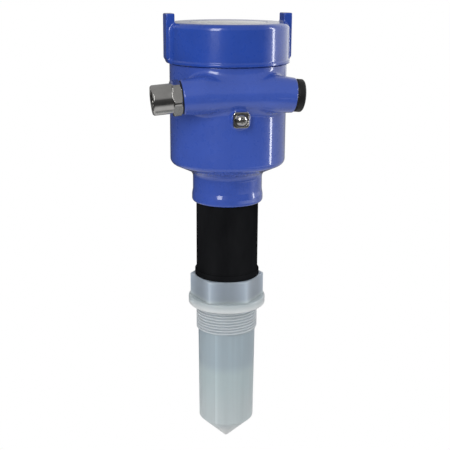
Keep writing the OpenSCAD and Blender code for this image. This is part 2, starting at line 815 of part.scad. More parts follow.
// Stainless adapter: male thread, hexagon, and a barrel that is threaded inside
module conduit_adapter() {
    len = adapter_hex_len + adapter_len;
    stem_start = lead_in - entry_depth;
    color("darkgray")
    at_entry(-1)
        translate([entry_seal_t, 0, 0])
            difference() {
                union() {
                    rod_x(entry_d - 2 * seat_gap, -stem_start + cut, stem_start - entry_seal_t);
                    rotate([0, 90, 0]) intersection() {
                        rotate([0, 0, adapter_hex_turn])
                            cylinder(d = adapter_af / cos(30), h = adapter_hex_len, $fn = 6);
                        cylinder(d = adapter_af * 1.12, h = adapter_hex_len);
                    }
                    rod_x(adapter_d, len - lead_in);
                    cone_x(adapter_d, adapter_d - 2 * point_bevel, lead_in, len - lead_in);
                }
                rod_x(adapter_bore_d, len + entry_depth + 4 * cut, -entry_depth - 2 * cut);
                rod_x(adapter_thread_d, adapter_thread_depth + cut, len - adapter_thread_depth);
            }
}

module entry_seal(side, d_out) {
    color("#202022")
    at_entry(side)
        rotate([0, 90, 0])
            ring(d_out, entry_d + 2 * moving_gap, entry_seal_t - seal_squeeze, seal_squeeze);
}

module adapter_seal() { entry_seal(-1, adapter_af); }

module plug_seal() { entry_seal(1, plug_d - 2 * seal_squeeze); }

// Blind plug with a hexagon socket
module blind_plug() {
    head_start = entry_seal_t + seat_gap;
    head_end = head_start + plug_head_len;
    color("#19191b")
    at_entry(1)
        difference() {
            union() {
                rod_x(plug_d, plug_head_len - lead_in, head_start);
                cone_x(plug_d, plug_d - 2 * lead_in, lead_in, head_end - lead_in);
                rod_x(entry_d - 2 * moving_gap, plug_stem_len + head_start + cut, -plug_stem_len);
            }
            translate([head_end - plug_key_depth, 0, 0]) rotate([0, 90, 0])
                cylinder(d = plug_key_af / cos(30), h = plug_key_depth + cut, $fn = 6);
        }
}

// ---- Ground terminal ------------------------------------------------------

// Square saddle whose edge is bent back round the wire
module ground_clamp() {
    color("silver")
    at_ground(seat_gap)
        difference() {
            translate([-clamp_w / 2, -clamp_w / 2, 0])
                cube([clamp_w, clamp_w, clamp_t + clamp_flange_h]);
            translate([0, 0, clamp_t])
                cylinder(d = ground_head_d + 2 * point_bevel, h = clamp_flange_h + cut);
            translate([0, 0, -cut])
                cylinder(d = ground_screw_d + 2 * moving_gap, h = clamp_t + 2 * cut, $fn = 32);
        }
}

// Split spring washer
module ground_washer() {
    color("gray")
    at_ground(seat_gap + clamp_t)
        difference() {
            ring(ground_head_d - 2 * seat_gap, ground_screw_d + 2 * moving_gap, washer_t, 0);
            translate([0, -washer_split / 2, -cut]) cube([ground_head_d, washer_split, washer_t + 2 * cut]);
        }
}

// Screw with a domed head, a long slot and a short cross slot
module ground_screw() {
    head_z = seat_gap + clamp_t + washer_t + seat_gap;
    r = ground_head_d / 2;
    dome_h = ground_head_h - ground_head_rim;
    dome_r = (r * r + dome_h * dome_h) / (2 * dome_h);
    slot_foot = ground_head_h - ground_slot_depth;
    color("gainsboro")
    at_ground(head_z)
        difference() {
            union() {
                intersection() {
                    cylinder(d = ground_head_d, h = ground_head_h);
                    translate([0, 0, ground_head_h - dome_r]) sphere(r = dome_r);
                }
                translate([0, 0, -ground_shank_len - head_z])
                    cylinder(d = ground_screw_d, h = ground_shank_len + head_z + 0.2, $fn = 48);
            }
            translate([-ground_head_d, -ground_slot_w / 2, slot_foot])
                cube([2 * ground_head_d, ground_slot_w, ground_head_h]);
            translate([-ground_slot_w / 2, -ground_cross_len / 2, slot_foot])
                cube([ground_slot_w, ground_cross_len, ground_head_h]);
        }
}

// ---- Electronics ----------------------------------------------------------

module for_module_screws() {
    for (side = [-1, 1]) translate([side * module_screw_r, 0, 0]) children();
}

// Cup that holds the main board, with two pillars for its screws
module electronics_cup() {
    base_d = cup_d - cup_wall;
    ledge_d = cup_d - 2 * cup_wall - 2 * cup_ledge_w;
    color("#2a2a2e")
    difference() {
        union() {
            ring(cup_d, cup_d - 2 * cup_wall, cup_h, cup_foot);
            ring(base_d, lead_d + 2, cup_base_t, cup_foot);
            ring(base_d, ledge_d, main_board_rise, cup_foot);
            for_module_screws() translate([0, 0, cup_foot]) cylinder(d = pillar_d, h = cup_h, $fn = 48);
        }
        for_module_screws()
            translate([0, 0, cup_foot - cut])
                cylinder(d = module_screw_d + 2 * seat_gap, h = cup_h + 2 * cut, $fn = 32);
    }
}

// Board with a transformer, two capacitors and three chips
module main_board() {
    top = main_board_z + board_t;
    row = transformer_w / 2 + capacitor_d / 2;
    color("darkgreen") {
        difference() {
            translate([0, 0, main_board_z])
                cylinder(d = cup_d - 2 * cup_wall - 2 * seat_gap, h = board_t);
            for_module_screws()
                translate([0, 0, main_board_z - cut])
                    cylinder(d = pillar_d + 2 * seat_gap, h = board_t + 2 * cut, $fn = 48);
        }
        translate([-transformer_w / 2, -transformer_depth - chip_w, top])
            cube([transformer_w, transformer_depth, transformer_h]);
        for (side = [-1, 1])
            translate([side * row, transformer_depth, top])
                cylinder(d = capacitor_d, h = capacitor_h, $fn = 48);
        for (i = [-1 : 1])
            translate([(i * 4 / 3 - 1 / 2) * chip_w, chip_w / 3, top]) cube([chip_w, chip_w, chip_h]);
    }
}

// Plate that closes the cup, with posts for the display and a pin header
module terminal_plate() {
    header_len = pin_count * pin_pitch + 2;
    color("#3a3a40")
    difference() {
        union() {
            translate([0, 0, cup_top]) cylinder(d = cup_d, h = plate_t);
            for (a = post_angles)
                rotate([0, 0, a]) translate([post_r, 0, cup_top])
                    cylinder(d = post_d, h = plate_t + post_h, $fn = 48);
            translate([-header_len / 2, header_row - header_w / 2, cup_top])
                cube([header_len, header_w, plate_t + header_h]);
        }
        for_module_screws()
            translate([0, 0, cup_top - cut])
                cylinder(d = module_screw_d + 2 * seat_gap, h = plate_t + 2 * cut, $fn = 32);
    }
}

module for_terminals() {
    for (i = [0 : terminal_count - 1])
        translate([(i - (terminal_count - 1) / 2) * terminal_pitch, -block_row, 0]) children();
}

// Row of terminals with wire holes in front and screw wells on top
module terminal_block() {
    width = terminal_count * terminal_pitch + 2;
    color("#2f6b45")
    difference() {
        translate([-width / 2, -block_row - block_depth / 2, plate_top])
            cube([width, block_depth, block_h]);
        for_terminals() {
            translate([0, 0, plate_top + block_h - screw_well_depth])
                cylinder(d = terminal_pitch - 2.5, h = screw_well_depth + cut, $fn = 32);
            translate([0, -block_depth / 2 - cut, plate_top + wire_hole_rise]) rotate([-90, 0, 0])
                cylinder(d = terminal_pitch - 3, h = wire_hole_depth + cut, $fn = 32);
        }
    }
}

// Slotted screws in the wells of the terminal block
module terminal_screws() {
    head_h = screw_well_depth - 1;
    color("silver")
    for_terminals()
        translate([0, 0, plate_top + block_h - screw_well_depth])
            difference() {
                cylinder(d = terminal_pitch - 2.5 - 2 * seat_gap, h = head_h, $fn = 32);
                translate([-terminal_pitch, -slot_w / 2, head_h - slot_depth])
                    cube([2 * terminal_pitch, slot_w, head_h]);
            }
}

// Long cheese-head screws that hold plate and cup on the floor bosses
module module_screws() {
    head_d = module_screw_d + 2.5;
    color("silver")
    for_module_screws()
        translate([0, 0, plate_top])
            difference() {
                union() {
                    cylinder(d = head_d, h = module_head_h, $fn = 48);
                    translate([0, 0, -module_screw_len])
                        cylinder(d = module_screw_d, h = module_screw_len + cut, $fn = 32);
                }
                translate([-head_d, -slot_w / 2, module_head_h - slot_depth])
                    cube([2 * head_d, slot_w, module_head_h]);
            }
}

// Pins between the header and the display board
module contact_pins() {
    color("gold")
    for (i = [0 : pin_count - 1])
        translate([(i - (pin_count - 1) / 2) * pin_pitch, header_row, header_z])
            cylinder(d = pin_d, h = display_z - header_z, $fn = 24);
}

// ---- Display module --------------------------------------------------------

module at_key(i) {
    translate([(i - 1.5) * key_pitch, -key_row, 0]) children();
}

// Case with a window, four key holes and a ledge that sits on the board
module display_case() {
    ledge_z = display_board_top + seat_gap;
    side_h = display_h - display_wall + cut;
    color("#27272b")
    difference() {
        union() {
            ring(display_d, display_d - 2 * display_wall, side_h, display_z);
            ring(display_d - display_wall, display_d - 4 * display_wall, case_under - ledge_z + cut, ledge_z);
            translate([0, 0, case_under]) cylinder(d = display_d, h = display_wall);
        }
        translate([-screen_w / 2, screen_shift - screen_h / 2, case_under - cut])
            cube([screen_w, screen_h, display_wall + 2 * cut]);
        for (i = [0 : 3])
            at_key(i) {
                translate([0, 0, case_under - cut])
                    cylinder(d = key_d + 2 * moving_gap, h = display_wall + 2 * cut, $fn = 48);
                translate([0, 0, ledge_z - cut])
                    cylinder(d = key_flange_d + 2, h = case_under - ledge_z + cut, $fn = 48);
            }
    }
}

// Board with a push switch under each key
module display_board() {
    sink = 0.2;
    foot = display_board_top - sink;
    color("darkgreen") {
        translate([0, 0, display_z]) cylinder(d = display_board_d, h = board_t);
        for (i = [0 : 3])
            at_key(i) {
                translate([-switch_w / 2, -switch_w / 2, foot])
                    cube([switch_w, switch_w, switch_top - foot - lead_in]);
                translate([0, 0, foot]) cylinder(d = switch_d, h = switch_top - foot, $fn = 32);
            }
    }
}

module lcd_module() {
    w = screen_w + 2 * lcd_margin;
    h = screen_h + 2 * lcd_margin;
    color("#8fa08a")
    translate([-w / 2, screen_shift - h / 2, display_board_top])
        cube([w, h, case_under - display_board_top - seat_gap]);
}

// Clear pane in the case's window
module display_lens() {
    color("#c8d4d6")
    translate([-screen_w / 2 + seat_gap, screen_shift - screen_h / 2 + seat_gap, case_under])
        cube([screen_w - 2 * seat_gap, screen_h - 2 * seat_gap, display_wall - 2 * seat_gap]);
}

// Key with a flange that keeps it in the case
module display_key(i) {
    bevel_z = display_top + key_proud - key_bevel;
    color("#5a6068")
    at_key(i) {
        translate([0, 0, key_foot]) cylinder(d = key_d, h = bevel_z - key_foot, $fn = 48);
        translate([0, 0, bevel_z]) cylinder(d1 = key_d, d2 = key_d - 2 * key_bevel, h = key_bevel, $fn = 48);
        translate([0, 0, key_flange_z]) cylinder(d = key_flange_d, h = key_flange_t, $fn = 48);
    }
}

module key_1() { display_key(0); }

module key_2() { display_key(1); }

module key_3() { display_key(2); }

module key_4() { display_key(3); }

// ---- Cover ----------------------------------------------------------------

// Section of the turned ring, without its lugs
function cover_points() =
    let (r = cover_d / 2, lip_r = cover_d / 2 + cover_lip, bore_r = cover_bore_d / 2,
         window_r = window_d / 2, seat_r = glass_d / 2 + seat_gap, hub_r = retainer_d / 2 + seat_gap,
         groove_in = oring_path_d / 2 - cover_oring_d / 2 - moving_gap,
         groove_out = oring_path_d / 2 + cover_oring_d / 2 + moving_gap,
         lip_bevel = point_bevel)
    concat(
        [[bore_r + lead_in, cover_foot], [lip_r - lip_bevel, cover_foot],
         [lip_r, cover_foot + lip_bevel], [lip_r, cover_foot + cover_lip_h - cover_lip],
         [r, cover_foot + cover_lip_h]],
        arc([r - cover_round_r, cover_top - cover_round_r], cover_round_r, 0, 90, 4),
        [[window_r + lead_in, cover_top], [window_r, cover_top - lead_in],
         [window_r, cover_top - rim_t], [seat_r, cover_top - rim_t],
         [seat_r, gasket_low], [hub_r, gasket_low], [hub_r, hub_foot],
         [groove_in, hub_foot], [groove_in, hub_foot + oring_groove_depth],
         [groove_out, hub_foot + oring_groove_depth], [groove_out, hub_foot],
         [bore_r, hub_foot], [bore_r, cover_foot + lead_in]]
    );

// Lug section in the radial plane
function lug_points() =
    let (low = cover_foot + lug_foot, high = cover_top + lug_h, inner = lug_reach - lug_depth,
         root = cover_bore_d / 2 + lead_in)
    [[root, low], [lug_reach - lug_chamfer, low], [lug_reach, low + lug_chamfer],
     [lug_reach, high], [inner, high], [inner, cover_top - lug_sink], [root, cover_top - lug_sink]];

module cover_ring() {
    color("#30489c") {
        rotate_extrude() polygon(cover_points());
        for (turn = [0, 180])
            rotate([90, 0, lug_angle + turn])
                translate([0, 0, -lug_w / 2]) linear_extrude(lug_w) polygon(lug_points());
    }
}

module cover_oring() {
    color("dimgray")
    oring(oring_path_d + cover_oring_d, cover_oring_d, thread_top + moving_gap + cover_oring_d / 2);
}

module window_gasket_upper() {
    color("#222225") ring(glass_d, glass_d - 2 * gasket_w, gasket_t, gasket_high);
}

// Stepped glass, whose face lies just under the rim of the cover
module window_glass() {
    face_r = glass_face_d / 2;
    color("#cfe0e4")
    rotate_extrude()
        polygon([
            [0, glass_z], [glass_d / 2, glass_z], [glass_d / 2, gasket_high],
            [face_r, gasket_high], [face_r, glass_face_z - glass_bevel],
            [face_r - glass_bevel, glass_face_z], [0, glass_face_z]
        ]);
}

module window_gasket_lower() {
    color("#222225") ring(glass_d, glass_d - 2 * gasket_w, gasket_t, gasket_low);
}

// Threaded ring under the glass, with four notches for its key
module window_retainer() {
    inner_d = retainer_d - 2 * retainer_w;
    color("gray")
    difference() {
        ring(retainer_d, inner_d, retainer_t, hub_foot);
        for (a = [0 : 90 : 270])
            rotate([0, 0, a]) translate([inner_d / 2 - cut, -retainer_notch_w / 2, hub_foot - cut])
                cube([retainer_notch_depth + cut, retainer_notch_w, retainer_notch_depth + cut]);
    }
}

// ---- Model ----------------------------------------------------------------

process_fitting();
antenna_horn();
horn_lens();
fitting_oring();
adapter_sleeve();
rf_can();
rf_board();
rf_lid();
signal_lead();
swivel_spigot();
spigot_oring_lower();
spigot_oring_upper();
retaining_ring();
housing_body();
lock_screw_left();
lock_screw_right();
conduit_adapter();
adapter_seal();
blind_plug();
plug_seal();
ground_clamp();
ground_washer();
ground_screw();
electronics_cup();
main_board();
terminal_plate();
terminal_block();
terminal_screws();
module_screws();
contact_pins();
display_case();
display_board();
lcd_module();
display_lens();
key_1();
key_2();
key_3();
key_4();
cover_oring();
cover_ring();
window_gasket_upper();
window_glass();
window_gasket_lower();
window_retainer();
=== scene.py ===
import json
import math

import bmesh
import bpy
import numpy as np
from mathutils import Matrix, Vector

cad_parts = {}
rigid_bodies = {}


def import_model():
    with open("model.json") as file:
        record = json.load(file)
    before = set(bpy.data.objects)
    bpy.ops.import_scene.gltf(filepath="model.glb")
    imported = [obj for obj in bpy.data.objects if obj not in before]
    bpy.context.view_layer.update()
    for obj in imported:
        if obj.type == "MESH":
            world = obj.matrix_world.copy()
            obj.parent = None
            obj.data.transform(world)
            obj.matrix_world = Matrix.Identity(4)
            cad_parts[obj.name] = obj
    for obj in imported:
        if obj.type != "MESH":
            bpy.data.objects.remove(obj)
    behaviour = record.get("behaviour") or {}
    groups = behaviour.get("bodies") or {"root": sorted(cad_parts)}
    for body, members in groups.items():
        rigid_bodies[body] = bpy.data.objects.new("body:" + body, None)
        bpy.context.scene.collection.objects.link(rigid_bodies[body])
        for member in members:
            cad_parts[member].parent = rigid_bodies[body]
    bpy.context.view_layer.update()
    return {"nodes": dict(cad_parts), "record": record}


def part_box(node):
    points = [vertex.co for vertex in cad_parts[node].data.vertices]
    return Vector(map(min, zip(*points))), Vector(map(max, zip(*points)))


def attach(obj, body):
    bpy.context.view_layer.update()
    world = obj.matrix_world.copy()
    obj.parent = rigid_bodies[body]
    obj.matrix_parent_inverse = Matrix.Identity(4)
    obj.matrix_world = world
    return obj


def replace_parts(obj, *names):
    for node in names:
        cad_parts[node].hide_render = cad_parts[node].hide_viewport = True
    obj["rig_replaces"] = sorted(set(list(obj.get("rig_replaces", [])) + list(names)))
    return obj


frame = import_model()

MM = 0.001


# ---- Sizes in millimetres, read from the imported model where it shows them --

def node_box(node):
    """Lowest and highest corner of a CAD node in millimetres."""
    low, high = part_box(node)
    return np.array(low) / MM, np.array(high) / MM


FIT_LOW, FIT_HIGH = node_box("process_fitting")
SLEEVE_LOW, SLEEVE_HIGH = node_box("adapter_sleeve")
LOCK_LOW, LOCK_HIGH = node_box("lock_screw_left")
BODY_LOW, BODY_HIGH = node_box("housing_body")
CLAMP_LOW, CLAMP_HIGH = node_box("ground_clamp")
COVER_LOW, COVER_HIGH = node_box("cover_ring")
RING_FOOT = node_box("retaining_ring")[0][2]
CUP_FOOT = node_box("electronics_cup")[0][2]
SPIGOT_R = node_box("swivel_spigot")[1][0]
ORING_R = node_box("cover_oring")[1][0]
GLASS_R = node_box("window_glass")[1][0]

# Gaps between pieces that rest on each other, and between pieces that move
SEAT_GAP, MOVING_GAP = 0.1, 0.3
# How far a cutter runs past the face that it opens
PAST = 2.0

# Fitting: pointed rod, process thread, flange and spanner hexagon
ROD_R, ROD_END_R, ROD_END_Z = 22.4, 21.7, -97.1
TIP_Z, TIP_ROUND, TIP_SLOPE = FIT_LOW[2], 2.0, math.radians(46.0)
THREAD_PITCH, THREAD_CREST, THREAD_ROOT, THREAD_FOOT = 2.309, 23.9, 22.55, -21.2
FLANGE_R, FLANGE_T, UNDERCUT_R = FIT_HIGH[0], 6.6, 23.0
HEX_ACROSS, HEX_CORNER_R, HEX_TURN, HEX_TOP = 50.0, 28.5, math.radians(9.2), FIT_HIGH[2]
SOCKET_R, SOCKET_FLOOR, ROD_BORE_R = 20.1, 7.9, 18.2

# Housing: neck with its collar, shoulder, round wall and sloping floor
NECK_R, BODY_R, COLLAR_R, COLLAR_BEVEL = 26.3, BODY_HIGH[0], 27.0, 4.0
NECK_FOOT, COLLAR_TOP = BODY_LOW[2], BODY_LOW[2] + 9.6
SHOULDER_LOW, SHOULDER_TOP = BODY_LOW[2] + 22.9, BODY_LOW[2] + 30.6
BODY_TOP, COVER_THREAD_TOP, COVER_THREAD_R = SHOULDER_TOP + 73.5, BODY_HIGH[2], 40.5
CAVITY_R, RING_SEAT_R, RING_ROOM, FLOOR_BOSS_H = 36.0, 24.6, 3.0, 4.0
FLOOR_LOW, FLOOR_EDGE = RING_FOOT - MOVING_GAP + RING_ROOM, CUP_FOOT - FLOOR_BOSS_H
LOCK_Z, LOCK_TURN = (LOCK_LOW[2] + LOCK_HIGH[2]) / 2, math.radians(30.0)

# Cable gallery across the front, and the entries at its ends
GALLERY_Y, GALLERY_Z, GALLERY_R, PASSAGE_R = -37.0, SHOULDER_TOP + 54.7, 12.7, 8.5
ENTRY_TILT, ENTRY_PIVOT, ENTRY_REACH, ENTRY_SWELL = math.radians(5.0), 25.0, 40.3, 12.0
ENTRY_ROOT_R, ENTRY_FACE_R, ENTRY_THREAD_R, ENTRY_DEPTH = 13.7, 12.4, 10.0, 13.0
ENTRY_DROP = (ENTRY_REACH - ENTRY_PIVOT) * math.tan(ENTRY_TILT)

# Ground terminal on its boss
GROUND_Z, GROUND_FACE, GROUND_R = (CLAMP_LOW[2] + CLAMP_HIGH[2]) / 2, BODY_R + 2.6, 7.0
CLAMP_HALF, CLAMP_T = CLAMP_HIGH[0], CLAMP_HIGH[1] - CLAMP_LOW[1]

# Cover, its two lugs and its window
COVER_R, LIP_R, COVER_ROUND = 44.25, COVER_HIGH[1], 4.0
COVER_FOOT, COVER_TOP = COVER_LOW[2], COVER_LOW[2] + 28.9
HUB_FOOT, GASKET_LOW, GASKET_TOP = COVER_TOP - 15.5, COVER_TOP - 11.0, COVER_TOP - 3.0
LUG_TOP, LUG_REACH, LUG_DEPTH, LUG_HALF = COVER_HIGH[2], 47.7, 6.5, 5.5
LUG_FOOT, LUG_CHAMFER, LUG_TURN = COVER_FOOT + 1.0, 2.6, math.radians(5.2)
ORING_T, ORING_GROOVE = 2.6, 2.9


# ---- Mesh helpers ----------------------------------------------------------

def linked(name, data):
    """Object in the scene."""
    obj = bpy.data.objects.new(name, data)
    bpy.context.scene.collection.objects.link(obj)
    return obj


def mesh_object(name, verts, faces):
    """Object from millimetre points."""
    mesh = bpy.data.meshes.new(name)
    mesh.from_pydata((np.asarray(verts, float) * MM).tolist(), [], [list(f) for f in faces])
    mesh.validate()
    mesh.update()
    return linked(name, mesh)


def smooth(obj, angle=32.0):
    """Smooth shading with edges sharper than angle kept crisp."""
    mesh = obj.data
    mesh.polygons.foreach_set("use_smooth", [True] * len(mesh.polygons))
    mesh.set_sharp_from_angle(angle=math.radians(angle))
    mesh.update()
    return obj


def place(obj, matrix):
    """Moves the mesh itself, so that the object stays at the origin."""
    obj.data.transform(matrix)
    obj.data.update()
    return obj


def moved(x, y, z):
    """Matrix that moves by millimetres."""
    return Matrix.Translation(Vector((x, y, z)) * MM)


def outward(obj):
    """Turns all faces outwards."""
    bm = bmesh.new()
    bm.from_mesh(obj.data)
    bmesh.ops.recalc_face_normals(bm, faces=bm.faces)
    bm.to_mesh(obj.data)
    bm.free()
    return obj


def cut(obj, cutter):
    """Takes the cutter away from the object, and then removes the cutter."""
    mod = obj.modifiers.new("cut", "BOOLEAN")
    mod.object = cutter
    mod.operation = "DIFFERENCE"
    mod.solver = "MANIFOLD"
    graph = bpy.context.evaluated_depsgraph_get()
    graph.update()
    mesh = bpy.data.meshes.new_from_object(obj.evaluated_get(graph))
    obj.modifiers.clear()
    obj.data = mesh
    bpy.data.objects.remove(cutter)


def body_of(node):
    """Body of the frame that carries a node."""
    return next(b for b, members in frame["record"]["behaviour"]["bodies"].items() if node in members)


def dress(node, bevel, angle=28.0):
    """A copy of a CAD node with its edges broken, which stands for the node."""
    bm = bmesh.new()
    bm.from_mesh(frame["nodes"][node].data)
    bmesh.ops.remove_doubles(bm, verts=bm.verts, dist=2e-6)
    bmesh.ops.dissolve_limit(bm, angle_limit=math.radians(0.6), verts=bm.verts, edges=bm.edges)
    edges = [e for e in bm.edges if len(e.link_faces) == 2 and e.calc_face_angle(0) > math.radians(angle)]
    if edges:
        bmesh.ops.bevel(bm, geom=edges, offset=bevel * MM, offset_type="OFFSET", segments=2,
                        profile=0.5, affect="EDGES", clamp_overlap=True)
    bmesh.ops.recalc_face_normals(bm, faces=bm.faces)
    mesh = bpy.data.meshes.new(node + "_dressed")
    bm.to_mesh(mesh)
    bm.free()
    return finish_piece(smooth(linked(node + "_dressed", mesh), 40), node)


# ---- Profiles and skins ----------------------------------------------------

def grid_skin(name, rows, wrap=False):
    """Closed skin through rows of points about +Z.

    Each row is (radius, height), each a number or one value per step round.
    Rows run from pole to pole, or back to the first row when wrap is set.
    """
    steps = max(np.size(v) for row in rows for v in row)
    around = np.linspace(0.0, 2 * math.pi, steps, endpoint=False)
    verts, index = [], []
    for radius, height in rows:
        radius = np.broadcast_to(np.asarray(radius, float), (steps,))
        height = np.broadcast_to(np.asarray(height, float), (steps,))
        if radius.max() < 1e-6:
            index.append(np.full(steps, len(verts)))
            verts.append((0.0, 0.0, float(height[0])))
        else:
            index.append(np.arange(len(verts), len(verts) + steps))
            verts.extend(zip(radius * np.cos(around), radius * np.sin(around), height))
    faces = []
    last = len(index) if wrap else len(index) - 1
    for i in range(last):
        low, high = index[i], index[(i + 1) % len(index)]
        for k in range(steps):
            m = (k + 1) % steps
            quad = [low[k], low[m], high[m], high[k]]
            face = [int(v) for n, v in enumerate(quad) if v != quad[n - 1]]
            if len(face) > 2:
                faces.append(face)
    return mesh_object(name, verts, faces)


def fillet(corners, steps=6):
    """Outline through (radius, height, rounding) corners, with an arc at each rounded one."""
    spots = [np.array(corner[:2], float) for corner in corners]
    radii = [corner[2] for corner in corners]
    out = []
    for i, (p, r) in enumerate(zip(spots, radii)):
        if r <= 0 or i in (0, len(spots) - 1):
            out.append(tuple(p))
            continue
        a, b = spots[i - 1] - p, spots[i + 1] - p
        la, lb = np.linalg.norm(a), np.linalg.norm(b)
        a, b = a / la, b / lb
        half = math.acos(max(-1.0, min(1.0, float(a @ b)))) / 2
        reach = min(r / math.tan(half), 0.49 * la, 0.49 * lb)
        r = reach * math.tan(half)
        middle = p + (a + b) / np.linalg.norm(a + b) * (r / math.sin(half))
        start, end = p + a * reach - middle, p + b * reach - middle
        sweep = math.pi - 2 * half
        for t in np.arange(steps + 1) / steps:
            v = start * math.sin((1 - t) * sweep) + end * math.sin(t * sweep)
            out.append(tuple(middle + v / max(np.linalg.norm(v), 1e-9) * r))
    return out


def lathe(name, points, steps=160):
    """Solid of revolution from a closed section, or from pole to pole."""
    rows = [(np.full(steps, r), z) if r > 1e-6 else (np.zeros(steps), z) for r, z in points]
    return outward(grid_skin(name, rows, wrap=points[0][0] > 1e-6))


def smooth_min(a, b, r):
    """Smaller of two values, with an easy change from one to the other."""
    h = np.clip(0.5 + 0.5 * (b - a) / r, 0.0, 1.0)
    return b + (a - b) * h - r * h * (1 - h) * 0.5


def ridge(z, pitch, root, crest, share=1.0, steps=192):
    """Radius round one height of a rounded screw thread, whose crest rises to a share of its height."""
    around = np.linspace(0.0, 1.0, steps, endpoint=False)
    phase = (z / pitch - around) % 1.0
    wave = 0.5 + 0.5 * np.cos(2 * math.pi * phase)
    wave = np.clip((wave - 0.5) * 1.5 + 0.5, 0.0, 1.0)
    wave = wave * wave * (3 - 2 * wave)
    return root + (crest - root) * wave * share


def hexagon(across, limit, turn=0.0, steps=192, ease=0.5):
    """Radius round a hexagon whose corners are eased and limited to a radius."""
    around = np.linspace(0.0, 2 * math.pi, steps, endpoint=False) + turn
    nearest = np.abs((around + math.pi / 6) % (math.pi / 3) - math.pi / 6)
    flat = across / 2 / np.cos(math.pi / 6 - nearest)
    return smooth_min(flat, limit, ease)


# ---- Implicit forms for the castings ---------------------------------------

CORNERS = [(i, j, k) for i in (0, 1) for j in (0, 1) for k in (0, 1)]
# Grid points that a field is worked out for at a time
CHUNK = 400000
# How close to the form, and how well along its normal, a face of its skin lies
SKIN_DEPTH, SKIN_FACING = 0.03, 0.8


def join(a, b, r):
    """Union of two distance fields with a fillet of radius r."""
    u = np.maximum(r - a, 0.0)
    v = np.maximum(r - b, 0.0)
    return np.maximum(r, np.minimum(a, b)) - np.hypot(u, v)


def meet(a, b, r):
    """Intersection of two distance fields with its edge rounded to radius r."""
    u = np.maximum(r + a, 0.0)
    v = np.maximum(r + b, 0.0)
    return np.minimum(-r, np.maximum(a, b)) + np.hypot(u, v)


def slab(v, low, high):
    """Field of the space between two parallel planes."""
    return np.maximum(low - v, v - high)


def gradient(field, points, h=0.02):
    """Value and slope of a field at points."""
    slope = np.empty_like(points)
    for n in range(3):
        d = np.zeros(3)
        d[n] = h
        slope[:, n] = (field(points + d) - field(points - d)) / (2 * h)
    return field(points), slope


def sample(field, axes):
    """Values of a field on the grid that three axes span."""
    grid = np.stack(np.meshgrid(*axes, indexing="ij"), axis=-1).reshape(-1, 3)
    values = np.empty(len(grid))
    for start in range(0, len(grid), CHUNK):
        values[start:start + CHUNK] = field(grid[start:start + CHUNK])
    return values.reshape([len(axis) for axis in axes])


def corner_of_cells(array, corner):
    """A grid array as each cell's given corner sees it."""
    return array[tuple(slice(c, n - 1 + c) for c, n in zip(corner, array.shape))]


def cell_points(values):
    """Which cells the surface crosses, and the middle of the crossings on each one's edges."""
    total = np.zeros([n - 1 for n in values.shape] + [3])
    count = np.zeros(total.shape[:3])
    for a in CORNERS:
        for axis in range(3):
            if a[axis] == 1:
                continue
            b = tuple(1 if n == axis else a[n] for n in range(3))
            va, vb = corner_of_cells(values, a), corner_of_cells(values, b)
            crossed = (va < 0) != (vb < 0)
            t = np.where(crossed, va / np.where(crossed, va - vb, 1.0), 0.0)
            for n in range(3):
                total[..., n] += np.where(crossed, a[n] + (t if n == axis else 0.0), 0.0)
            count += crossed
    used = count > 0
    return used, total[used] / count[used][:, None]


def cell_quads(values, used):
    """A quad between the four cells round each grid edge that the surface crosses."""
    inside = values < 0
    number = np.full(used.shape, -1)
    number[used] = np.arange(int(used.sum()))
    quads = []
    for axis in range(3):
        o1, o2 = [n for n in range(3) if n != axis]
        head = [slice(None)] * 3
        tail = [slice(None)] * 3
        head[axis], tail[axis] = slice(0, -1), slice(1, None)
        found = np.argwhere(inside[tuple(head)] != inside[tuple(tail)])
        within = (found > 0) & (found < np.array(values.shape) - 1)
        found = found[within[:, o1] & within[:, o2]]
        ring = []
        for d1, d2 in ((1, 1), (0, 1), (0, 0), (1, 0)):
            c = found.copy()
            c[:, o1] -= d1
            c[:, o2] -= d2
            ring.append(number[tuple(c.T)])
        quad = np.stack(ring, axis=1)
        first = inside[tuple(found.T)]
        flip = first if axis != 1 else ~first
        quad[~flip] = quad[~flip][:, ::-1]
        quads.append(quad)
    return np.concatenate(quads)


def surface_net(field, low, high, step):
    """Closed quad mesh of field = 0 with its points moved onto the surface."""
    axes = [np.arange(low[i] - 2 * step, high[i] + 2.5 * step, step) for i in range(3)]
    values = sample(field, axes)
    used, middle = cell_points(values)
    points = np.array([axis[0] for axis in axes]) + (np.argwhere(used) + middle) * step
    for _ in range(6):
        value, slope = gradient(field, points)
        move = slope * (value / np.maximum((slope ** 2).sum(1), 0.25))[:, None]
        size = np.linalg.norm(move, axis=1)
        points = points - move * np.minimum(1.0, 0.5 * step / np.maximum(size, 1e-9))[:, None]
    return points, cell_quads(values, used)


def unit(rows):
    """Rows scaled to length one."""
    return rows / np.maximum(np.linalg.norm(rows, axis=1), 1e-9)[:, None]


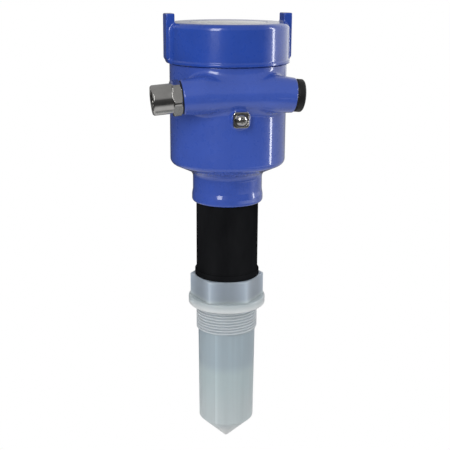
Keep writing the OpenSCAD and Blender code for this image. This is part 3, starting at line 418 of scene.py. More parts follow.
def skin_normals(mesh, field):
    """Gives the faces that lie on the form the form's own normals. Cut faces keep theirs."""
    loops, faces = len(mesh.loops), len(mesh.polygons)
    normals = np.empty(loops * 3, np.float32)
    mesh.corner_normals.foreach_get("vector", normals)
    normals = normals.reshape(-1, 3)
    spots = np.empty(len(mesh.vertices) * 3)
    mesh.vertices.foreach_get("co", spots)
    value, slope = gradient(field, spots.reshape(-1, 3) / MM)
    slope = unit(slope)
    on_skin = np.abs(value) < SKIN_DEPTH
    vertex = np.empty(loops, np.int32)
    mesh.loops.foreach_get("vertex_index", vertex)
    face_of = np.repeat(np.arange(faces), [p.loop_total for p in mesh.polygons])
    skin_face = np.ones(faces, bool)
    np.logical_and.at(skin_face, face_of, on_skin[vertex])
    mean = np.zeros((faces, 3))
    np.add.at(mean, face_of, slope[vertex])
    skin_face &= (unit(mean) * np.array([p.normal for p in mesh.polygons])).sum(1) > SKIN_FACING
    chosen = skin_face[face_of]
    normals[chosen] = slope[vertex[chosen]]
    mesh.normals_split_custom_set(normals.tolist())


def casting(name, field, low, high, step, cutters):
    """Cast form with exact cuts, and with normals taken from the form itself."""
    obj = outward(mesh_object(name, *surface_net(field, low, high, step)))
    for cutter in cutters:
        cut(obj, cutter)
    smooth(obj, 30)
    skin_normals(obj.data, field)
    return obj


# ---- Materials -------------------------------------------------------------

WHITE = (1.0, 1.0, 1.0, 1.0)


class Nodes:
    """Builds a node tree in a few calls."""

    def __init__(self, tree):
        self.tree = tree
        self.tree.nodes.clear()
        self.coords = None

    def add(self, kind, **settings):
        """Node whose settings are its sockets' values or its own attributes."""
        node = self.tree.nodes.new(kind)
        for key, value in settings.items():
            if key in node.inputs:
                node.inputs[key].default_value = value
            else:
                setattr(node, key, value)
        return node

    def link(self, source, out, node, into):
        """Joins an output to a socket of a node, and returns that node."""
        self.tree.links.new(source.outputs[out], node.inputs[into])
        return node

    def place(self, scale=(1.0, 1.0, 1.0)):
        """Object coordinates, stretched."""
        if self.coords is None:
            self.coords = self.add("ShaderNodeTexCoord")
        return self.link(self.coords, "Object", self.add("ShaderNodeMapping", Scale=scale), "Vector")

    def noise(self, scale, detail=3.0, rough=0.55, stretch=(1.0, 1.0, 1.0)):
        node = self.add("ShaderNodeTexNoise", Scale=scale, Detail=detail, Roughness=rough)
        return self.link(self.place(stretch), 0, node, "Vector")

    def spread(self, source, low, high, start=0.3, end=0.7, out=0, **settings):
        """Runs from low to high while the source runs from start to end."""
        node = self.add("ShaderNodeMapRange", **settings)
        ends = {"From Min": start, "From Max": end, "To Min": low, "To Max": high}
        for key, value in ends.items():
            node.inputs[key].default_value = value
        return self.link(source, out, node, "Value")

    def calc(self, operation, first, second, out=0):
        """Number worked out from two nodes."""
        node = self.add("ShaderNodeMath", operation=operation)
        self.link(first, out, node, 0)
        return self.link(second, 0, node, 1)

    def length(self, vector):
        """Length of a vector, at the output Value."""
        return self.link(vector, 0, self.add("ShaderNodeVectorMath", operation="LENGTH"), 0)

    def towards(self, vector, out, way):
        """How far a vector points in a direction, at the output Value."""
        node = self.add("ShaderNodeVectorMath", operation="DOT_PRODUCT")
        node.inputs[1].default_value = way
        return self.link(vector, out, node, 0)

    def blend(self, share, first, second):
        """Runs from the first to the second, each a node or a number, as the share runs from 0 to 1."""
        node = self.add("ShaderNodeMix", data_type="FLOAT")
        self.link(share, 0, node, "Factor")
        for socket, value in ((2, first), (3, second)):
            if isinstance(value, float):
                node.inputs[socket].default_value = value
            else:
                self.link(value, 0, node, socket)
        return node

    def shaded(self, colour, out, shade):
        """Colour times a number, at output 2."""
        node = self.add("ShaderNodeMix", data_type="RGBA", blend_type="MULTIPLY", Factor=1.0)
        self.link(colour, out, node, 6)
        return self.link(shade, 0, node, 7)

    def choose(self, share, out, first, second):
        """Mixes two shaders by a share of 0 to 1."""
        node = self.add("ShaderNodeMixShader")
        self.link(share, out, node, 0)
        self.link(first, 0, node, 1)
        return self.link(second, 0, node, 2)


class Look(Nodes):
    """A material round a Principled shader."""

    def __init__(self, name, rough, **sockets):
        self.material = bpy.data.materials.new(name)
        self.material.use_nodes = True
        super().__init__(self.material.node_tree)
        self.output = self.add("ShaderNodeOutputMaterial")
        self.shader = self.add("ShaderNodeBsdfPrincipled", Roughness=rough)
        self.link(self.shader, 0, self.output, "Surface")
        for key, value in sockets.items():
            socket = key.replace("_", " ").title().replace("Ior", "IOR")
            self.shader.inputs[socket].default_value = value

    def tint(self, source, low, high):
        """Base colour that runs between two colours along a texture."""
        ramp = self.add("ShaderNodeValToRGB")
        for stop, position, colour in zip(ramp.color_ramp.elements, (0.35, 0.65), (low, high)):
            stop.position = position
            stop.color = (*colour, 1.0)
        self.link(source, 0, ramp, "Fac")
        self.link(ramp, "Color", self.shader, "Base Color")

    def mottle(self, source, colour, less, more):
        """Base colour that runs between two shades of one colour along a texture."""
        self.tint(source, [c * less for c in colour], [min(1.0, c * more) for c in colour])

    def roughen(self, source, low, high):
        self.link(self.spread(source, low, high), 0, self.shader, "Roughness")

    def bump(self, source, height, strength, out=0, into=("Normal",), after=None):
        """Surface relief of the given height in metres, over the relief that it comes after."""
        node = self.add("ShaderNodeBump", Strength=strength, Distance=height)
        self.link(source, out, node, "Height")
        if after is not None:
            self.link(after, 0, node, "Normal")
        for name in into:
            self.link(node, 0, self.shader, name)
        return node

    def bricks(self, low, high, mortar, **settings):
        """Base colour of fine bricks between lines of mortar."""
        node = self.add("ShaderNodeTexBrick", **settings)
        for key, colour in {"Color1": low, "Color2": high, "Mortar": mortar}.items():
            node.inputs[key].default_value = (*colour, 1.0)
        self.link(self.place(), 0, node, "Vector")
        self.link(node, "Color", self.shader, "Base Color")
        return node


def paint(name, colour, coat_rough):
    """Glossy powder coat on a casting: orange peel over a faintly wavy form."""
    look = Look(name, 0.3, coat_weight=1.0, coat_roughness=coat_rough, coat_ior=1.5, specular_ior_level=0.2)
    look.mottle(look.noise(28.0, 2.0), colour, 0.94, 1.06)
    look.roughen(look.noise(220.0), 0.24, 0.36)
    waves = look.bump(look.noise(60.0, 1.0, 0.4), 0.00018, 0.2, into=())
    look.bump(look.noise(900.0, 2.0, 0.5), 0.000006, 0.6, into=("Normal", "Coat Normal"), after=waves)
    return look.material


def black_sleeve():
    """Fine matt black plastic."""
    look = Look("sleeve_matt_black", 0.85, specular_ior_level=0.0)
    clouds = look.noise(45.0, 4.0, stretch=(1.0, 1.0, 0.35))
    look.tint(clouds, (0.0055, 0.0057, 0.0064), (0.0095, 0.0098, 0.0108))
    look.roughen(look.noise(300.0), 0.72, 0.88)
    look.bump(look.noise(1500.0, 4.0, 0.7), 0.00004, 0.6)
    return look.material


# Colours of the fitting up its height, in millimetres: tip, rod, horn mouth, horn, thread, hexagon. They hold
# painted shade and light: darker where the horn and its can stand behind the wall, paler at the tip and the
# flange.
PP_PAINTED_SHADES = (
    (-117.0, (0.86, 0.88, 0.885)),
    (-97.0, (0.61, 0.68, 0.70)),
    (-56.0, (0.53, 0.625, 0.65)),
    (-45.0, (0.44, 0.525, 0.58)),
    (-21.5, (0.44, 0.525, 0.58)),
    (-19.0, (0.63, 0.69, 0.74)),
    (-1.0, (0.66, 0.72, 0.76)),
    (1.0, (0.80, 0.84, 0.85)),
    (6.5, (0.52, 0.58, 0.60)),
    (10.5, (0.37, 0.425, 0.485)),
    (24.0, (0.38, 0.44, 0.51)),
)
# Directions round the rod where its painted highlight, one pale line, starts, is brightest and has faded out
HIGHLIGHT_START, HIGHLIGHT_TOP, HIGHLIGHT_END = math.radians(-125.0), math.radians(-124.0), math.radians(-117.0)
# Heights in metres where the thread, the flange and the hexagon begin
ZONES = (-0.021, -0.0005, 0.0073)


def pp_painted_light(look, spot):
    """Brightness of the wall, with painted light in it: random draw lines on the rod, a painted highlight
    line down the rod, and painted glow on the thread crests and the hexagon corners.
    """
    lines = look.spread(look.noise(260.0, 2.0, 0.5, stretch=(1.0, 1.0, 0.02)), 0.96, 1.06)
    # Painted highlight: one pale line down the rod, at a set direction round it.
    angle = look.add("ShaderNodeMath", operation="ARCTAN2")
    look.link(spot, "Y", angle, 0)
    look.link(spot, "X", angle, 1)
    fade = look.spread(angle, 1.18, 1.0, HIGHLIGHT_TOP, HIGHLIGHT_END)
    painted_highlight = look.blend(look.spread(angle, 0.0, 1.0, HIGHLIGHT_START, HIGHLIGHT_TOP), 1.0, fade)
    # Painted glow: paler thread crests and hexagon corners.
    radius = look.length(look.place((1.0, 1.0, 0.0)))
    crest = look.spread(radius, 0.9, 1.16, 0.0226, 0.0238, out="Value")
    corner = look.spread(radius, 0.93, 1.36, 0.0252, 0.0284, out="Value")
    shade = look.calc("MULTIPLY", lines, painted_highlight)
    for level, above in zip(ZONES, (crest, 1.0, corner)):
        zone = look.spread(spot, 0.0, 1.0, level - 0.0005, level + 0.0005, out="Z")
        shade = look.blend(zone, shade, above)
    return shade


def translucent_pp():
    """Milky moulded polypropylene, with painted shade up its height where the horn and its can stand behind
    the wall, and painted light on the fitting.
    """
    look = Look("milky_polypropylene", 0.34, transmission_weight=0.3, ior=1.49,
                subsurface_weight=0.75, subsurface_scale=0.01, specular_ior_level=0.5)
    look.shader.inputs["Subsurface Radius"].default_value = (1.0, 1.0, 1.0)
    spot = look.link(look.place(), 0, look.add("ShaderNodeSeparateXYZ"), "Vector")
    low, high = PP_PAINTED_SHADES[0][0], PP_PAINTED_SHADES[-1][0]
    ramp = look.add("ShaderNodeValToRGB")
    ramp.color_ramp.interpolation = "EASE"
    while len(ramp.color_ramp.elements) < len(PP_PAINTED_SHADES):
        ramp.color_ramp.elements.new(1.0)
    for stop, (level, colour) in zip(ramp.color_ramp.elements, PP_PAINTED_SHADES):
        stop.position = (level - low) / (high - low)
        stop.color = (*colour, 1.0)
    look.link(look.spread(spot, 0.0, 1.0, low * MM, high * MM, out="Z"), 0, ramp, "Fac")
    flow = look.spread(look.noise(30.0, 4.0, 0.6, stretch=(1.0, 1.0, 0.25)), 0.95, 1.02)
    clouded = look.shaded(ramp, "Color", flow)
    look.link(look.shaded(clouded, 2, pp_painted_light(look, spot)), 2, look.shader, "Base Color")
    look.roughen(look.noise(160.0), 0.28, 0.42)
    look.bump(look.noise(500.0, 2.0, 0.5, stretch=(0.2, 0.2, 2.4)), 0.00002, 0.4)
    return look.material


def turned_metal(name, colour, rough):
    """Metal with fine rings across its axis."""
    look = Look(name, rough, metallic=1.0)
    look.mottle(look.noise(90.0), colour, 0.9, 1.08)
    look.roughen(look.noise(240.0), rough * 0.75, rough * 1.4)
    look.bump(look.noise(2600.0, 2.0, 0.6, stretch=(0.02, 0.02, 1.0)), 0.000006, 0.7)
    return look.material


def plastic(name, colour, rough, **sockets):
    """Moulded plastic with a fine grain."""
    look = Look(name, rough, **sockets)
    look.mottle(look.noise(70.0), colour, 0.9, 1.1)
    look.roughen(look.noise(350.0), rough * 0.85, rough * 1.2)
    look.bump(look.noise(900.0, 3.0, 0.6), 0.00001, 0.6)
    return look.material


def rubber(name):
    """Matt black rubber."""
    look = Look(name, 0.7, specular_ior_level=0.35)
    look.tint(look.noise(200.0, 4.0), (0.012, 0.012, 0.013), (0.024, 0.024, 0.026))
    look.roughen(look.noise(700.0), 0.6, 0.85)
    look.bump(look.noise(1400.0, 4.0, 0.7), 0.00002, 0.6)
    return look.material


def circuit_board():
    """Green solder mask with copper paths under it."""
    look = Look("solder_mask", 0.32, coat_weight=0.3, coat_roughness=0.15)
    dark, darker, copper = (0.006, 0.07, 0.03), (0.008, 0.085, 0.034), (0.03, 0.19, 0.07)
    paths = look.bricks(dark, darker, copper, Scale=420.0)
    paths.inputs["Mortar Size"].default_value = 0.028
    look.bump(paths, 0.00003, 0.4, out="Fac")
    return look.material


def lcd_face():
    """Blank grey-green reflective display with its cell grid."""
    look = Look("lcd_face", 0.22, coat_weight=0.4, coat_roughness=0.08)
    pale, paler, grid = (0.27, 0.33, 0.25), (0.275, 0.335, 0.255), (0.24, 0.30, 0.225)
    cells = look.bricks(pale, paler, grid, offset=0.0, Scale=1500.0)
    for key, value in {"Mortar Size": 0.012, "Brick Width": 0.5, "Row Height": 0.5}.items():
        cells.inputs[key].default_value = value
    look.roughen(look.noise(300.0), 0.18, 0.28)
    return look.material


def clear_glass():
    """Clear glass with a faint green in it."""
    look = Look("window_glass", 0.02, transmission_weight=1.0, ior=1.5,
                coat_weight=1.0, coat_roughness=0.03, coat_ior=1.7)
    look.tint(look.noise(30.0, 2.0), (0.90, 0.95, 0.94), (0.94, 0.97, 0.965))
    look.roughen(look.noise(120.0), 0.01, 0.035)
    look.bump(look.noise(40.0, 1.0), 0.00001, 0.3)
    return look.material


def ground_edge():
    """Matt ground rim of the window glass, pale where it catches the light."""
    look = Look("glass_ground_edge", 0.6, subsurface_weight=0.3, subsurface_scale=0.003)
    look.tint(look.noise(300.0), (0.60, 0.63, 0.62), (0.72, 0.75, 0.74))
    look.bump(look.noise(1800.0, 3.0, 0.6), 0.00002, 0.5)
    return look.material


HOUSING_BLUE, COVER_BLUE = (0.035, 0.077, 0.358), (0.0145, 0.053, 0.312)
LOOKS = {
    "housing_paint": paint("housing_blue_paint", HOUSING_BLUE, 0.08),
    "cover_paint": paint("cover_blue_paint", COVER_BLUE, 0.11),
    "sleeve_black": black_sleeve(),
    "pp_natural": translucent_pp(),
    "lens_white": plastic("lens_fluoropolymer", (0.80, 0.81, 0.80), 0.4),
    "oring_rubber": rubber("oring_rubber"),
    "seal_rubber": rubber("seal_rubber"),
    "tin_can": turned_metal("tinned_sheet", (0.62, 0.62, 0.60), 0.28),
    "circuit_board": circuit_board(),
    "lead_jacket": rubber("lead_jacket"),
    "turned_aluminium": turned_metal("turned_aluminium", (0.70, 0.71, 0.73), 0.25),
    "spring_steel": turned_metal("phosphated_steel", (0.20, 0.20, 0.22), 0.4),
    "stainless": turned_metal("stainless_steel", (0.50, 0.49, 0.475), 0.16),
    "plug_black": plastic("plug_black_plastic", (0.008, 0.008, 0.009), 0.4, specular_ior_level=0.35),
    "cup_plastic": plastic("cup_black_plastic", (0.03, 0.03, 0.035), 0.5),
    "plate_plastic": plastic("plate_grey_plastic", (0.06, 0.06, 0.07), 0.45),
    "terminal_green": plastic("terminal_green_plastic", (0.02, 0.17, 0.06), 0.35),
    "zinc_screw": turned_metal("zinc_plated_steel", (0.60, 0.61, 0.62), 0.25),
    "contact_gold": turned_metal("gold_contact", (0.80, 0.58, 0.20), 0.2),
    "display_plastic": plastic("display_black_plastic", (0.03, 0.031, 0.035), 0.45),
    "lcd_face": lcd_face(),
    "clear_pane": clear_glass(),
    "key_grey": plastic("key_grey_rubber", (0.11, 0.12, 0.14), 0.55),
    "window_glass": clear_glass(),
}
SLOT_OF = {row["node"]: row["material_slot"] for row in frame["record"]["subparts"]}


def wear(obj, material):
    """Makes a material the only one of an object."""
    obj.data.materials.clear()
    obj.data.materials.append(material)


def finish_node(obj, node):
    """Gives a piece the material and the slot of its node."""
    wear(obj, LOOKS[SLOT_OF[node]])


def finish_piece(obj, node):
    """Finishes a piece that stands for a node: it rides the node's body and replaces the node."""
    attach(obj, body_of(node))
    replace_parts(obj, node)
    finish_node(obj, node)
    return obj


# ---- Stage, camera and lights ----------------------------------------------

# Camera, in degrees, metres and millimetres of film
CAMERA_AZIMUTH, CAMERA_PITCH, CAMERA_ROLL = -11.3, 15.5, 0.30
CAMERA_DISTANCE, CAMERA_TARGET_Z, CAMERA_SHIFT_LEFT = 0.697, 0.0624, 0.00165
LENS, FILM = 72.0, 36.0
# Directions of what reflections see: bright side and patch of the floor's painted glow, bright side of the
# sky
FLOOR_SIDE, FLOOR_PATCH, SKY_SIDE = 112.0, 66.0, 120.0
SKY_LIGHT = 0.64
LIGHT_TARGET = Vector((0.0, 0.0, 0.12))
FLOOR_HALF, FLOOR_Z = 4000.0, -350.0


def direction(azimuth, elevation=0.0):
    """Unit vector from the object, by degrees: azimuth 0 is the front, and grows towards the right."""
    a, e = math.radians(azimuth), math.radians(elevation)
    return Vector((math.sin(a) * math.cos(e), -math.cos(a) * math.cos(e), math.sin(e)))


def painted_floor_reflection(look, flat):
    """Painted reflection: what glossy rays see of the floor is a glow, dimmer close under the object, with a
    bright side and a patch far off.
    """
    far = look.length(flat)
    outer = look.spread(far, low=0.66, high=0.06, start=0.45, end=0.8, out="Value")
    inner = look.spread(far, low=0.3, high=0.66, start=0.07, end=0.17, out="Value")
    ring = look.calc("MINIMUM", outer, inner)
    heading = look.link(flat, 0, look.add("ShaderNodeVectorMath", operation="NORMALIZE"), 0)
    aside = look.towards(heading, 0, direction(FLOOR_SIDE))
    side = look.spread(aside, low=0.06, high=0.46, start=0.62, end=0.92, out="Value")
    ahead = look.towards(heading, 0, direction(FLOOR_PATCH))
    patch = look.spread(ahead, low=0.0, high=1.9, start=0.66, end=0.96, out="Value")
    begins = look.spread(far, low=0.0, high=1.0, start=1.4, end=1.5, out="Value")
    ends = look.spread(far, low=1.0, high=0.0, start=1.76, end=1.9, out="Value")
    patch = look.calc("MULTIPLY", look.calc("MULTIPLY", patch, begins), ends)
    return look.calc("MAXIMUM", look.calc("MAXIMUM", ring, side), patch)


def build_floor():
    """Pale floor far below the antenna. The camera sees it turn white away from the object. Glossy rays see a
    painted reflection glow in its place.
    """
    corners = [(x * FLOOR_HALF, y * FLOOR_HALF, FLOOR_Z) for x, y in ((-1, -1), (1, -1), (1, 1), (-1, 1))]
    floor = mesh_object("stage_floor", corners, [(0, 1, 2, 3)])
    look = Look("stage_floor", 0.6, base_color=(0.86, 0.86, 0.86, 1.0))
    rays = look.add("ShaderNodeLightPath")
    flat = look.place((1.0, 1.0, 0.0))
    away = look.spread(look.length(flat), low=0.0, high=1.0, start=0.12, end=0.34, out="Value")
    white = look.add("ShaderNodeEmission", Color=WHITE, Strength=1.0)
    share = look.calc("MULTIPLY", rays, away, out="Is Camera Ray")
    seen = look.choose(share, 0, look.shader, white)
    # Painted reflection: the floor glows to glossy rays only.
    painted_reflection_glow = look.add("ShaderNodeEmission", Color=WHITE)
    look.link(painted_floor_reflection(look, flat), 0, painted_reflection_glow, "Strength")
    look.link(look.choose(rays, "Is Glossy Ray", seen, painted_reflection_glow), 0, look.output, "Surface")
    wear(floor, look.material)


def build_world():
    """White to the camera; to everything else a studio, bright at the back and right, dim in front."""
    world = bpy.data.worlds.new("surroundings")
    bpy.context.scene.world = world
    world.use_nodes = True
    sky = Nodes(world.node_tree)
    out = sky.add("ShaderNodeOutputWorld")
    coords = sky.add("ShaderNodeTexCoord")
    ease = {"interpolation_type": "SMOOTHSTEP"}
    aside = sky.towards(coords, "Generated", direction(SKY_SIDE))
    bright = sky.spread(aside, low=0.0, high=0.98, start=0.35, end=0.9, out="Value", **ease)
    spot = sky.link(coords, "Generated", sky.add("ShaderNodeSeparateXYZ"), 0)
    dim = sky.spread(spot, low=0.08, high=0.38, start=0.06, end=0.3, out="Z", **ease)
    rays = sky.add("ShaderNodeLightPath")
    studio = sky.add("ShaderNodeBackground", Color=WHITE)
    sky.link(sky.calc("MAXIMUM", bright, dim), 0, studio, "Strength")
    soft = sky.add("ShaderNodeBackground", Color=WHITE, Strength=SKY_LIGHT)
    white = sky.add("ShaderNodeBackground", Color=WHITE, Strength=1.0)
    unseen = sky.choose(rays, "Is Diffuse Ray", studio, soft)
    sky.link(sky.choose(rays, "Is Camera Ray", unseen, white), 0, out, "Surface")


def build_camera():
    """The photo's view: from the front, a little to the left and above."""
    back = direction(CAMERA_AZIMUTH, CAMERA_PITCH)
    right = direction(CAMERA_AZIMUTH + 90.0)
    up = back.cross(right)
    target = Vector((0.0, 0.0, CAMERA_TARGET_Z)) - right * CAMERA_SHIFT_LEFT
    data = bpy.data.cameras.new("camera")
    data.lens = LENS
    data.sensor_width = FILM
    data.clip_start = 0.01
    camera = linked("camera", data)
    roll = Matrix.Rotation(math.radians(CAMERA_ROLL), 4, "Z")
    rotation = Matrix((right, up, back)).transposed().to_4x4() @ roll
    camera.matrix_world = Matrix.Translation(target + back * CAMERA_DISTANCE) @ rotation
    bpy.context.scene.camera = camera


def softbox(name, azimuth, elevation, distance, width, height, power):
    """Area light that shines on the object from a direction, in metres and watts."""
    data = bpy.data.lights.new(name, "AREA")
    data.shape = "RECTANGLE"
    data.size = width
    data.size_y = height
    data.energy = power
    back = direction(azimuth, elevation)
    lamp = linked(name, data)
    lamp.location = LIGHT_TARGET + back * distance
    lamp.rotation_euler = back.to_track_quat("Z", "Y").to_euler()


def build_lights():
    softbox("softbox_right", azimuth=81.5, elevation=11.5, distance=1.0, width=0.09, height=0.88, power=3.0)
    softbox("softbox_left", azimuth=-35.8, elevation=23.3, distance=1.2, width=0.36, height=0.9, power=8.6)


# ---- Housing ---------------------------------------------------------------

def cone_field(rho, z, foot, top):
    """Distance outside the cone through two (radius, height) points."""
    run = np.array(top, float) - np.array(foot, float)
    normal = np.array([run[1], -run[0]])
    normal = normal / np.linalg.norm(normal)
    return (rho - foot[0]) * normal[0] + (z - foot[1]) * normal[1]


def housing_field(p):
    """Outer form of the casting: neck and collar, shoulder and wall, cable gallery, ground boss."""
    x, y, z = p[:, 0], p[:, 1], p[:, 2]
    rho = np.hypot(x, y)
    rise = smooth_min(np.clip((COLLAR_TOP - z) / COLLAR_BEVEL, 0.0, 2.0), 1.0, 0.35)
    neck = rho - NECK_R - (COLLAR_R - NECK_R) * np.clip(rise, 0.0, 1.0)
    neck = meet(meet(neck, NECK_FOOT - z, 2.2), z - SHOULDER_TOP, 0.3)
    shoulder = cone_field(rho, z, (NECK_R, SHOULDER_LOW), (BODY_R, SHOULDER_TOP))
    wall = meet(meet(rho - BODY_R, shoulder, 2.5), z - BODY_TOP, 0.3)
    form = join(neck, wall, 3.5)

    across = np.abs(x)
    bend = np.maximum(across - ENTRY_PIVOT, 0.0)
    swell = np.clip((across - ENTRY_PIVOT + ENTRY_SWELL) / ENTRY_SWELL, 0.0, 1.0)
    taper = np.clip(bend / (ENTRY_REACH - ENTRY_PIVOT), 0.0, 1.2)
    radius = GALLERY_R + (ENTRY_ROOT_R - GALLERY_R) * swell * swell * (3 - 2 * swell)
    radius = radius - (ENTRY_ROOT_R - ENTRY_FACE_R) * taper
    tube = np.hypot(y - GALLERY_Y, z - GALLERY_Z + bend * math.tan(ENTRY_TILT)) - radius
    above = z - GALLERY_Z + ENTRY_DROP
    face = (across - ENTRY_REACH) * math.cos(ENTRY_TILT) - above * math.sin(ENTRY_TILT)
    form = join(form, meet(tube, face, 0.7), 3.6)

    boss = np.hypot(x, z - GROUND_Z) - GROUND_R
    boss = meet(boss, slab(y, -GROUND_FACE, GALLERY_Y), 1.0)
    return join(form, boss, 1.6)


def entry_matrix(side):
    """Places a piece built along +Z at an entry face, pointing out."""
    out = Vector((side * math.cos(ENTRY_TILT), 0.0, -math.sin(ENTRY_TILT)))
    up = Vector((side * math.sin(ENTRY_TILT), 0.0, math.cos(ENTRY_TILT)))
    turn = Matrix((up.cross(out), up, out)).transposed().to_4x4()
    return moved(side * ENTRY_REACH, GALLERY_Y, GALLERY_Z - ENTRY_DROP) @ turn


def ground_matrix(gap=0.0):
    """Places a piece built along +Z on the ground boss, pointing to the front."""
    turn = Matrix((Vector((1, 0, 0)), Vector((0, 0, 1)), Vector((0, -1, 0)))).transposed().to_4x4()
    return moved(0.0, -GROUND_FACE - gap, GROUND_Z) @ turn


def lock_matrix(side):
    """Places a piece built along +Z on the axis of a lock screw, pointing out of the back."""
    back = Matrix.Rotation(math.pi / 2 - side * LOCK_TURN, 4, "Z")
    return moved(0, 0, LOCK_Z) @ back @ Matrix.Rotation(math.pi / 2, 4, "Y")


def drill(name, radius, low, high, matrix, steps):
    """Cutter for a round hole between two heights of a matrix's axis."""
    return place(lathe(name, [(0, low), (radius, low), (radius, high), (0, high)], steps), matrix)


def housing_cutters():
    """Bore and cavity, entries, the gallery's passage, ground hole and lock screw holes."""
    spigot_bore_r = SPIGOT_R + SEAT_GAP
    ring_seat = FLOOR_LOW - RING_ROOM
    bore = [(0, NECK_FOOT - PAST), (spigot_bore_r, NECK_FOOT - PAST), (spigot_bore_r, ring_seat),
            (RING_SEAT_R, ring_seat), (RING_SEAT_R, FLOOR_LOW), (CAVITY_R, FLOOR_EDGE),
            (CAVITY_R, BODY_TOP + PAST), (0, BODY_TOP + PAST)]
    yield lathe("cut_bore", bore, 128)
    tip_r, tip_z = 8.0, -15.4
    entry = [(0, tip_z), (tip_r, tip_z), (tip_r, -ENTRY_DEPTH), (ENTRY_THREAD_R, -ENTRY_DEPTH),
             (ENTRY_THREAD_R, PAST), (0, PAST)]
    for side in (-1, 1):
        yield place(lathe("cut_entry", entry, 96), entry_matrix(side))
    along = moved(0, GALLERY_Y, GALLERY_Z) @ Matrix.Rotation(math.pi / 2, 4, "Y")
    yield drill("cut_passage", PASSAGE_R, -ENTRY_PIVOT, ENTRY_PIVOT, along, 64)
    yield drill("cut_ground", 2.3, -11, PAST, ground_matrix(), 32)
    for side in (-1, 1):
        yield drill("cut_lock", 2.8, 20, 32, lock_matrix(side), 48)


def build_housing():
    """The casting with its true wall, and the two bosses on its sloping floor."""
    low = (-50.0, -52.0, NECK_FOOT - 1)
    high = (50.0, 45.0, BODY_TOP + 1)
    step = 0.8
    obj = casting("housing_casting", housing_field, low, high, step, housing_cutters())
    finish_piece(obj, "housing_body")

    sink, boss_r, tap_r, tap_depth, boss_x = 0.6, 4.5, 1.6, 7.0, 28.0
    top = CUP_FOOT - FLOOR_LOW - sink
    corners = [(0, 0, 0), (boss_r, 0, 0), (boss_r, top, 0.4), (tap_r, top, 0.2),
               (tap_r, top - tap_depth, 0), (0, top - tap_depth, 0)]
    for side in (-1, 1):
        boss = smooth(lathe("floor_boss", fillet(corners, 4), 64))
        finish_piece(place(boss, moved(side * boss_x, 0, FLOOR_LOW + sink)), "housing_body")


def build_cover_thread():
    """Threaded collar of the casting, which the cover screws onto."""
    pitch, root, top = 2.0, 39.45, COVER_THREAD_TOP
    rows = [(CAVITY_R, top - 0.4), (CAVITY_R, BODY_TOP - 1.5), (root, BODY_TOP - 1.5)]
    for z in np.arange(BODY_TOP + 0.2, top - 0.35, 0.17):
        rows.append((ridge(z, pitch, root, COVER_THREAD_R, min(1.0, (top - z) / 1.6)), z))
    rows += [(root - 0.3, top), (CAVITY_R + 0.4, top)]
    finish_piece(smooth(outward(grid_skin("housing_cover_thread", rows, wrap=True))), "housing_body")


# ---- Cover and window ------------------------------------------------------

def cover_field(p):
    """Outer form of the cover: crowned wall with a lip at its foot, and two lugs."""
    x, y, z = p[:, 0], p[:, 1], p[:, 2]
    rho = np.hypot(x, y)
    wall = meet(rho - COVER_R, z - COVER_TOP, COVER_ROUND)
    lip = meet(rho - LIP_R, z - COVER_FOOT - 3.0, 0.1)
    lip = meet(lip, (rho - LIP_R + z - COVER_FOOT - 2.0) / math.sqrt(2), 0.15)
    form = join(wall, lip, 0.15)
    along = np.abs(x * math.cos(LUG_TURN) + y * math.sin(LUG_TURN))
    across = np.abs(y * math.cos(LUG_TURN) - x * math.sin(LUG_TURN))
    corner = (along - LUG_REACH + LUG_FOOT + LUG_CHAMFER - z) / math.sqrt(2)
    lug = meet(meet(along - LUG_REACH, LUG_FOOT - z, 0.4), corner, 0.8)
    lug = meet(lug, LUG_REACH - LUG_DEPTH - along, 0.8)
    lug = meet(meet(lug, z - LUG_TOP, 0.9), across - LUG_HALF, 0.9)
    below_rim = np.clip((COVER_TOP - 2.0 - z) / 3.0, 0.0, 1.0)
    form = join(form, lug, 1.1 + 2.2 * below_rim)
    return meet(form, COVER_FOOT - z, 0.4)


def cover_bore():
    """Section of the cover's inside, from the thread up to the opening over the glass."""
    thread_r = COVER_THREAD_R + MOVING_GAP
    groove_out = ORING_R + MOVING_GAP
    groove_in = ORING_R - ORING_T - MOVING_GAP
    groove_top = HUB_FOOT + ORING_GROOVE
    retainer_r = GLASS_R + 1.0 + SEAT_GAP
    glass_r = GLASS_R + SEAT_GAP
    window_r, chamfer = 28.5, 0.12
    return [(0, COVER_FOOT - PAST), (thread_r + 1 + PAST, COVER_FOOT - PAST), (thread_r, COVER_FOOT + 1),
            (thread_r, HUB_FOOT), (groove_out, HUB_FOOT), (groove_out, groove_top), (groove_in, groove_top),
            (groove_in, HUB_FOOT), (retainer_r, HUB_FOOT), (retainer_r, GASKET_LOW), (glass_r, GASKET_LOW),
            (glass_r, GASKET_TOP), (window_r, GASKET_TOP), (window_r, COVER_TOP - chamfer),
            (window_r + chamfer, COVER_TOP), (window_r + chamfer, COVER_TOP + PAST), (0, COVER_TOP + PAST)]


def build_cover():
    """The cover's casting with its inside cut out."""
    low = (-48.0, -46.0, COVER_FOOT - 1)
    high = (48.0, 46.0, LUG_TOP + 1)
    step = 0.75
    cutter = lathe("cut_cover", cover_bore())
    finish_piece(casting("cover_casting", cover_field, low, high, step, [cutter]), "cover_ring")


def build_window():
    """Stepped glass, flush with the cover, clear on its faces and ground at its rim."""
    raised = 0.17
    glass = dress("window_glass", 0.12)
    for vertex in glass.data.vertices:
        if vertex.co.z > (COVER_TOP - 1.0) * MM:
            vertex.co.z += raised * MM
    glass.data.materials.append(ground_edge())
    for face in glass.data.polygons:
        face.material_index = int(abs(face.normal.z) < 0.3)


# ---- Fitting, sleeve and entry parts ---------------------------------------

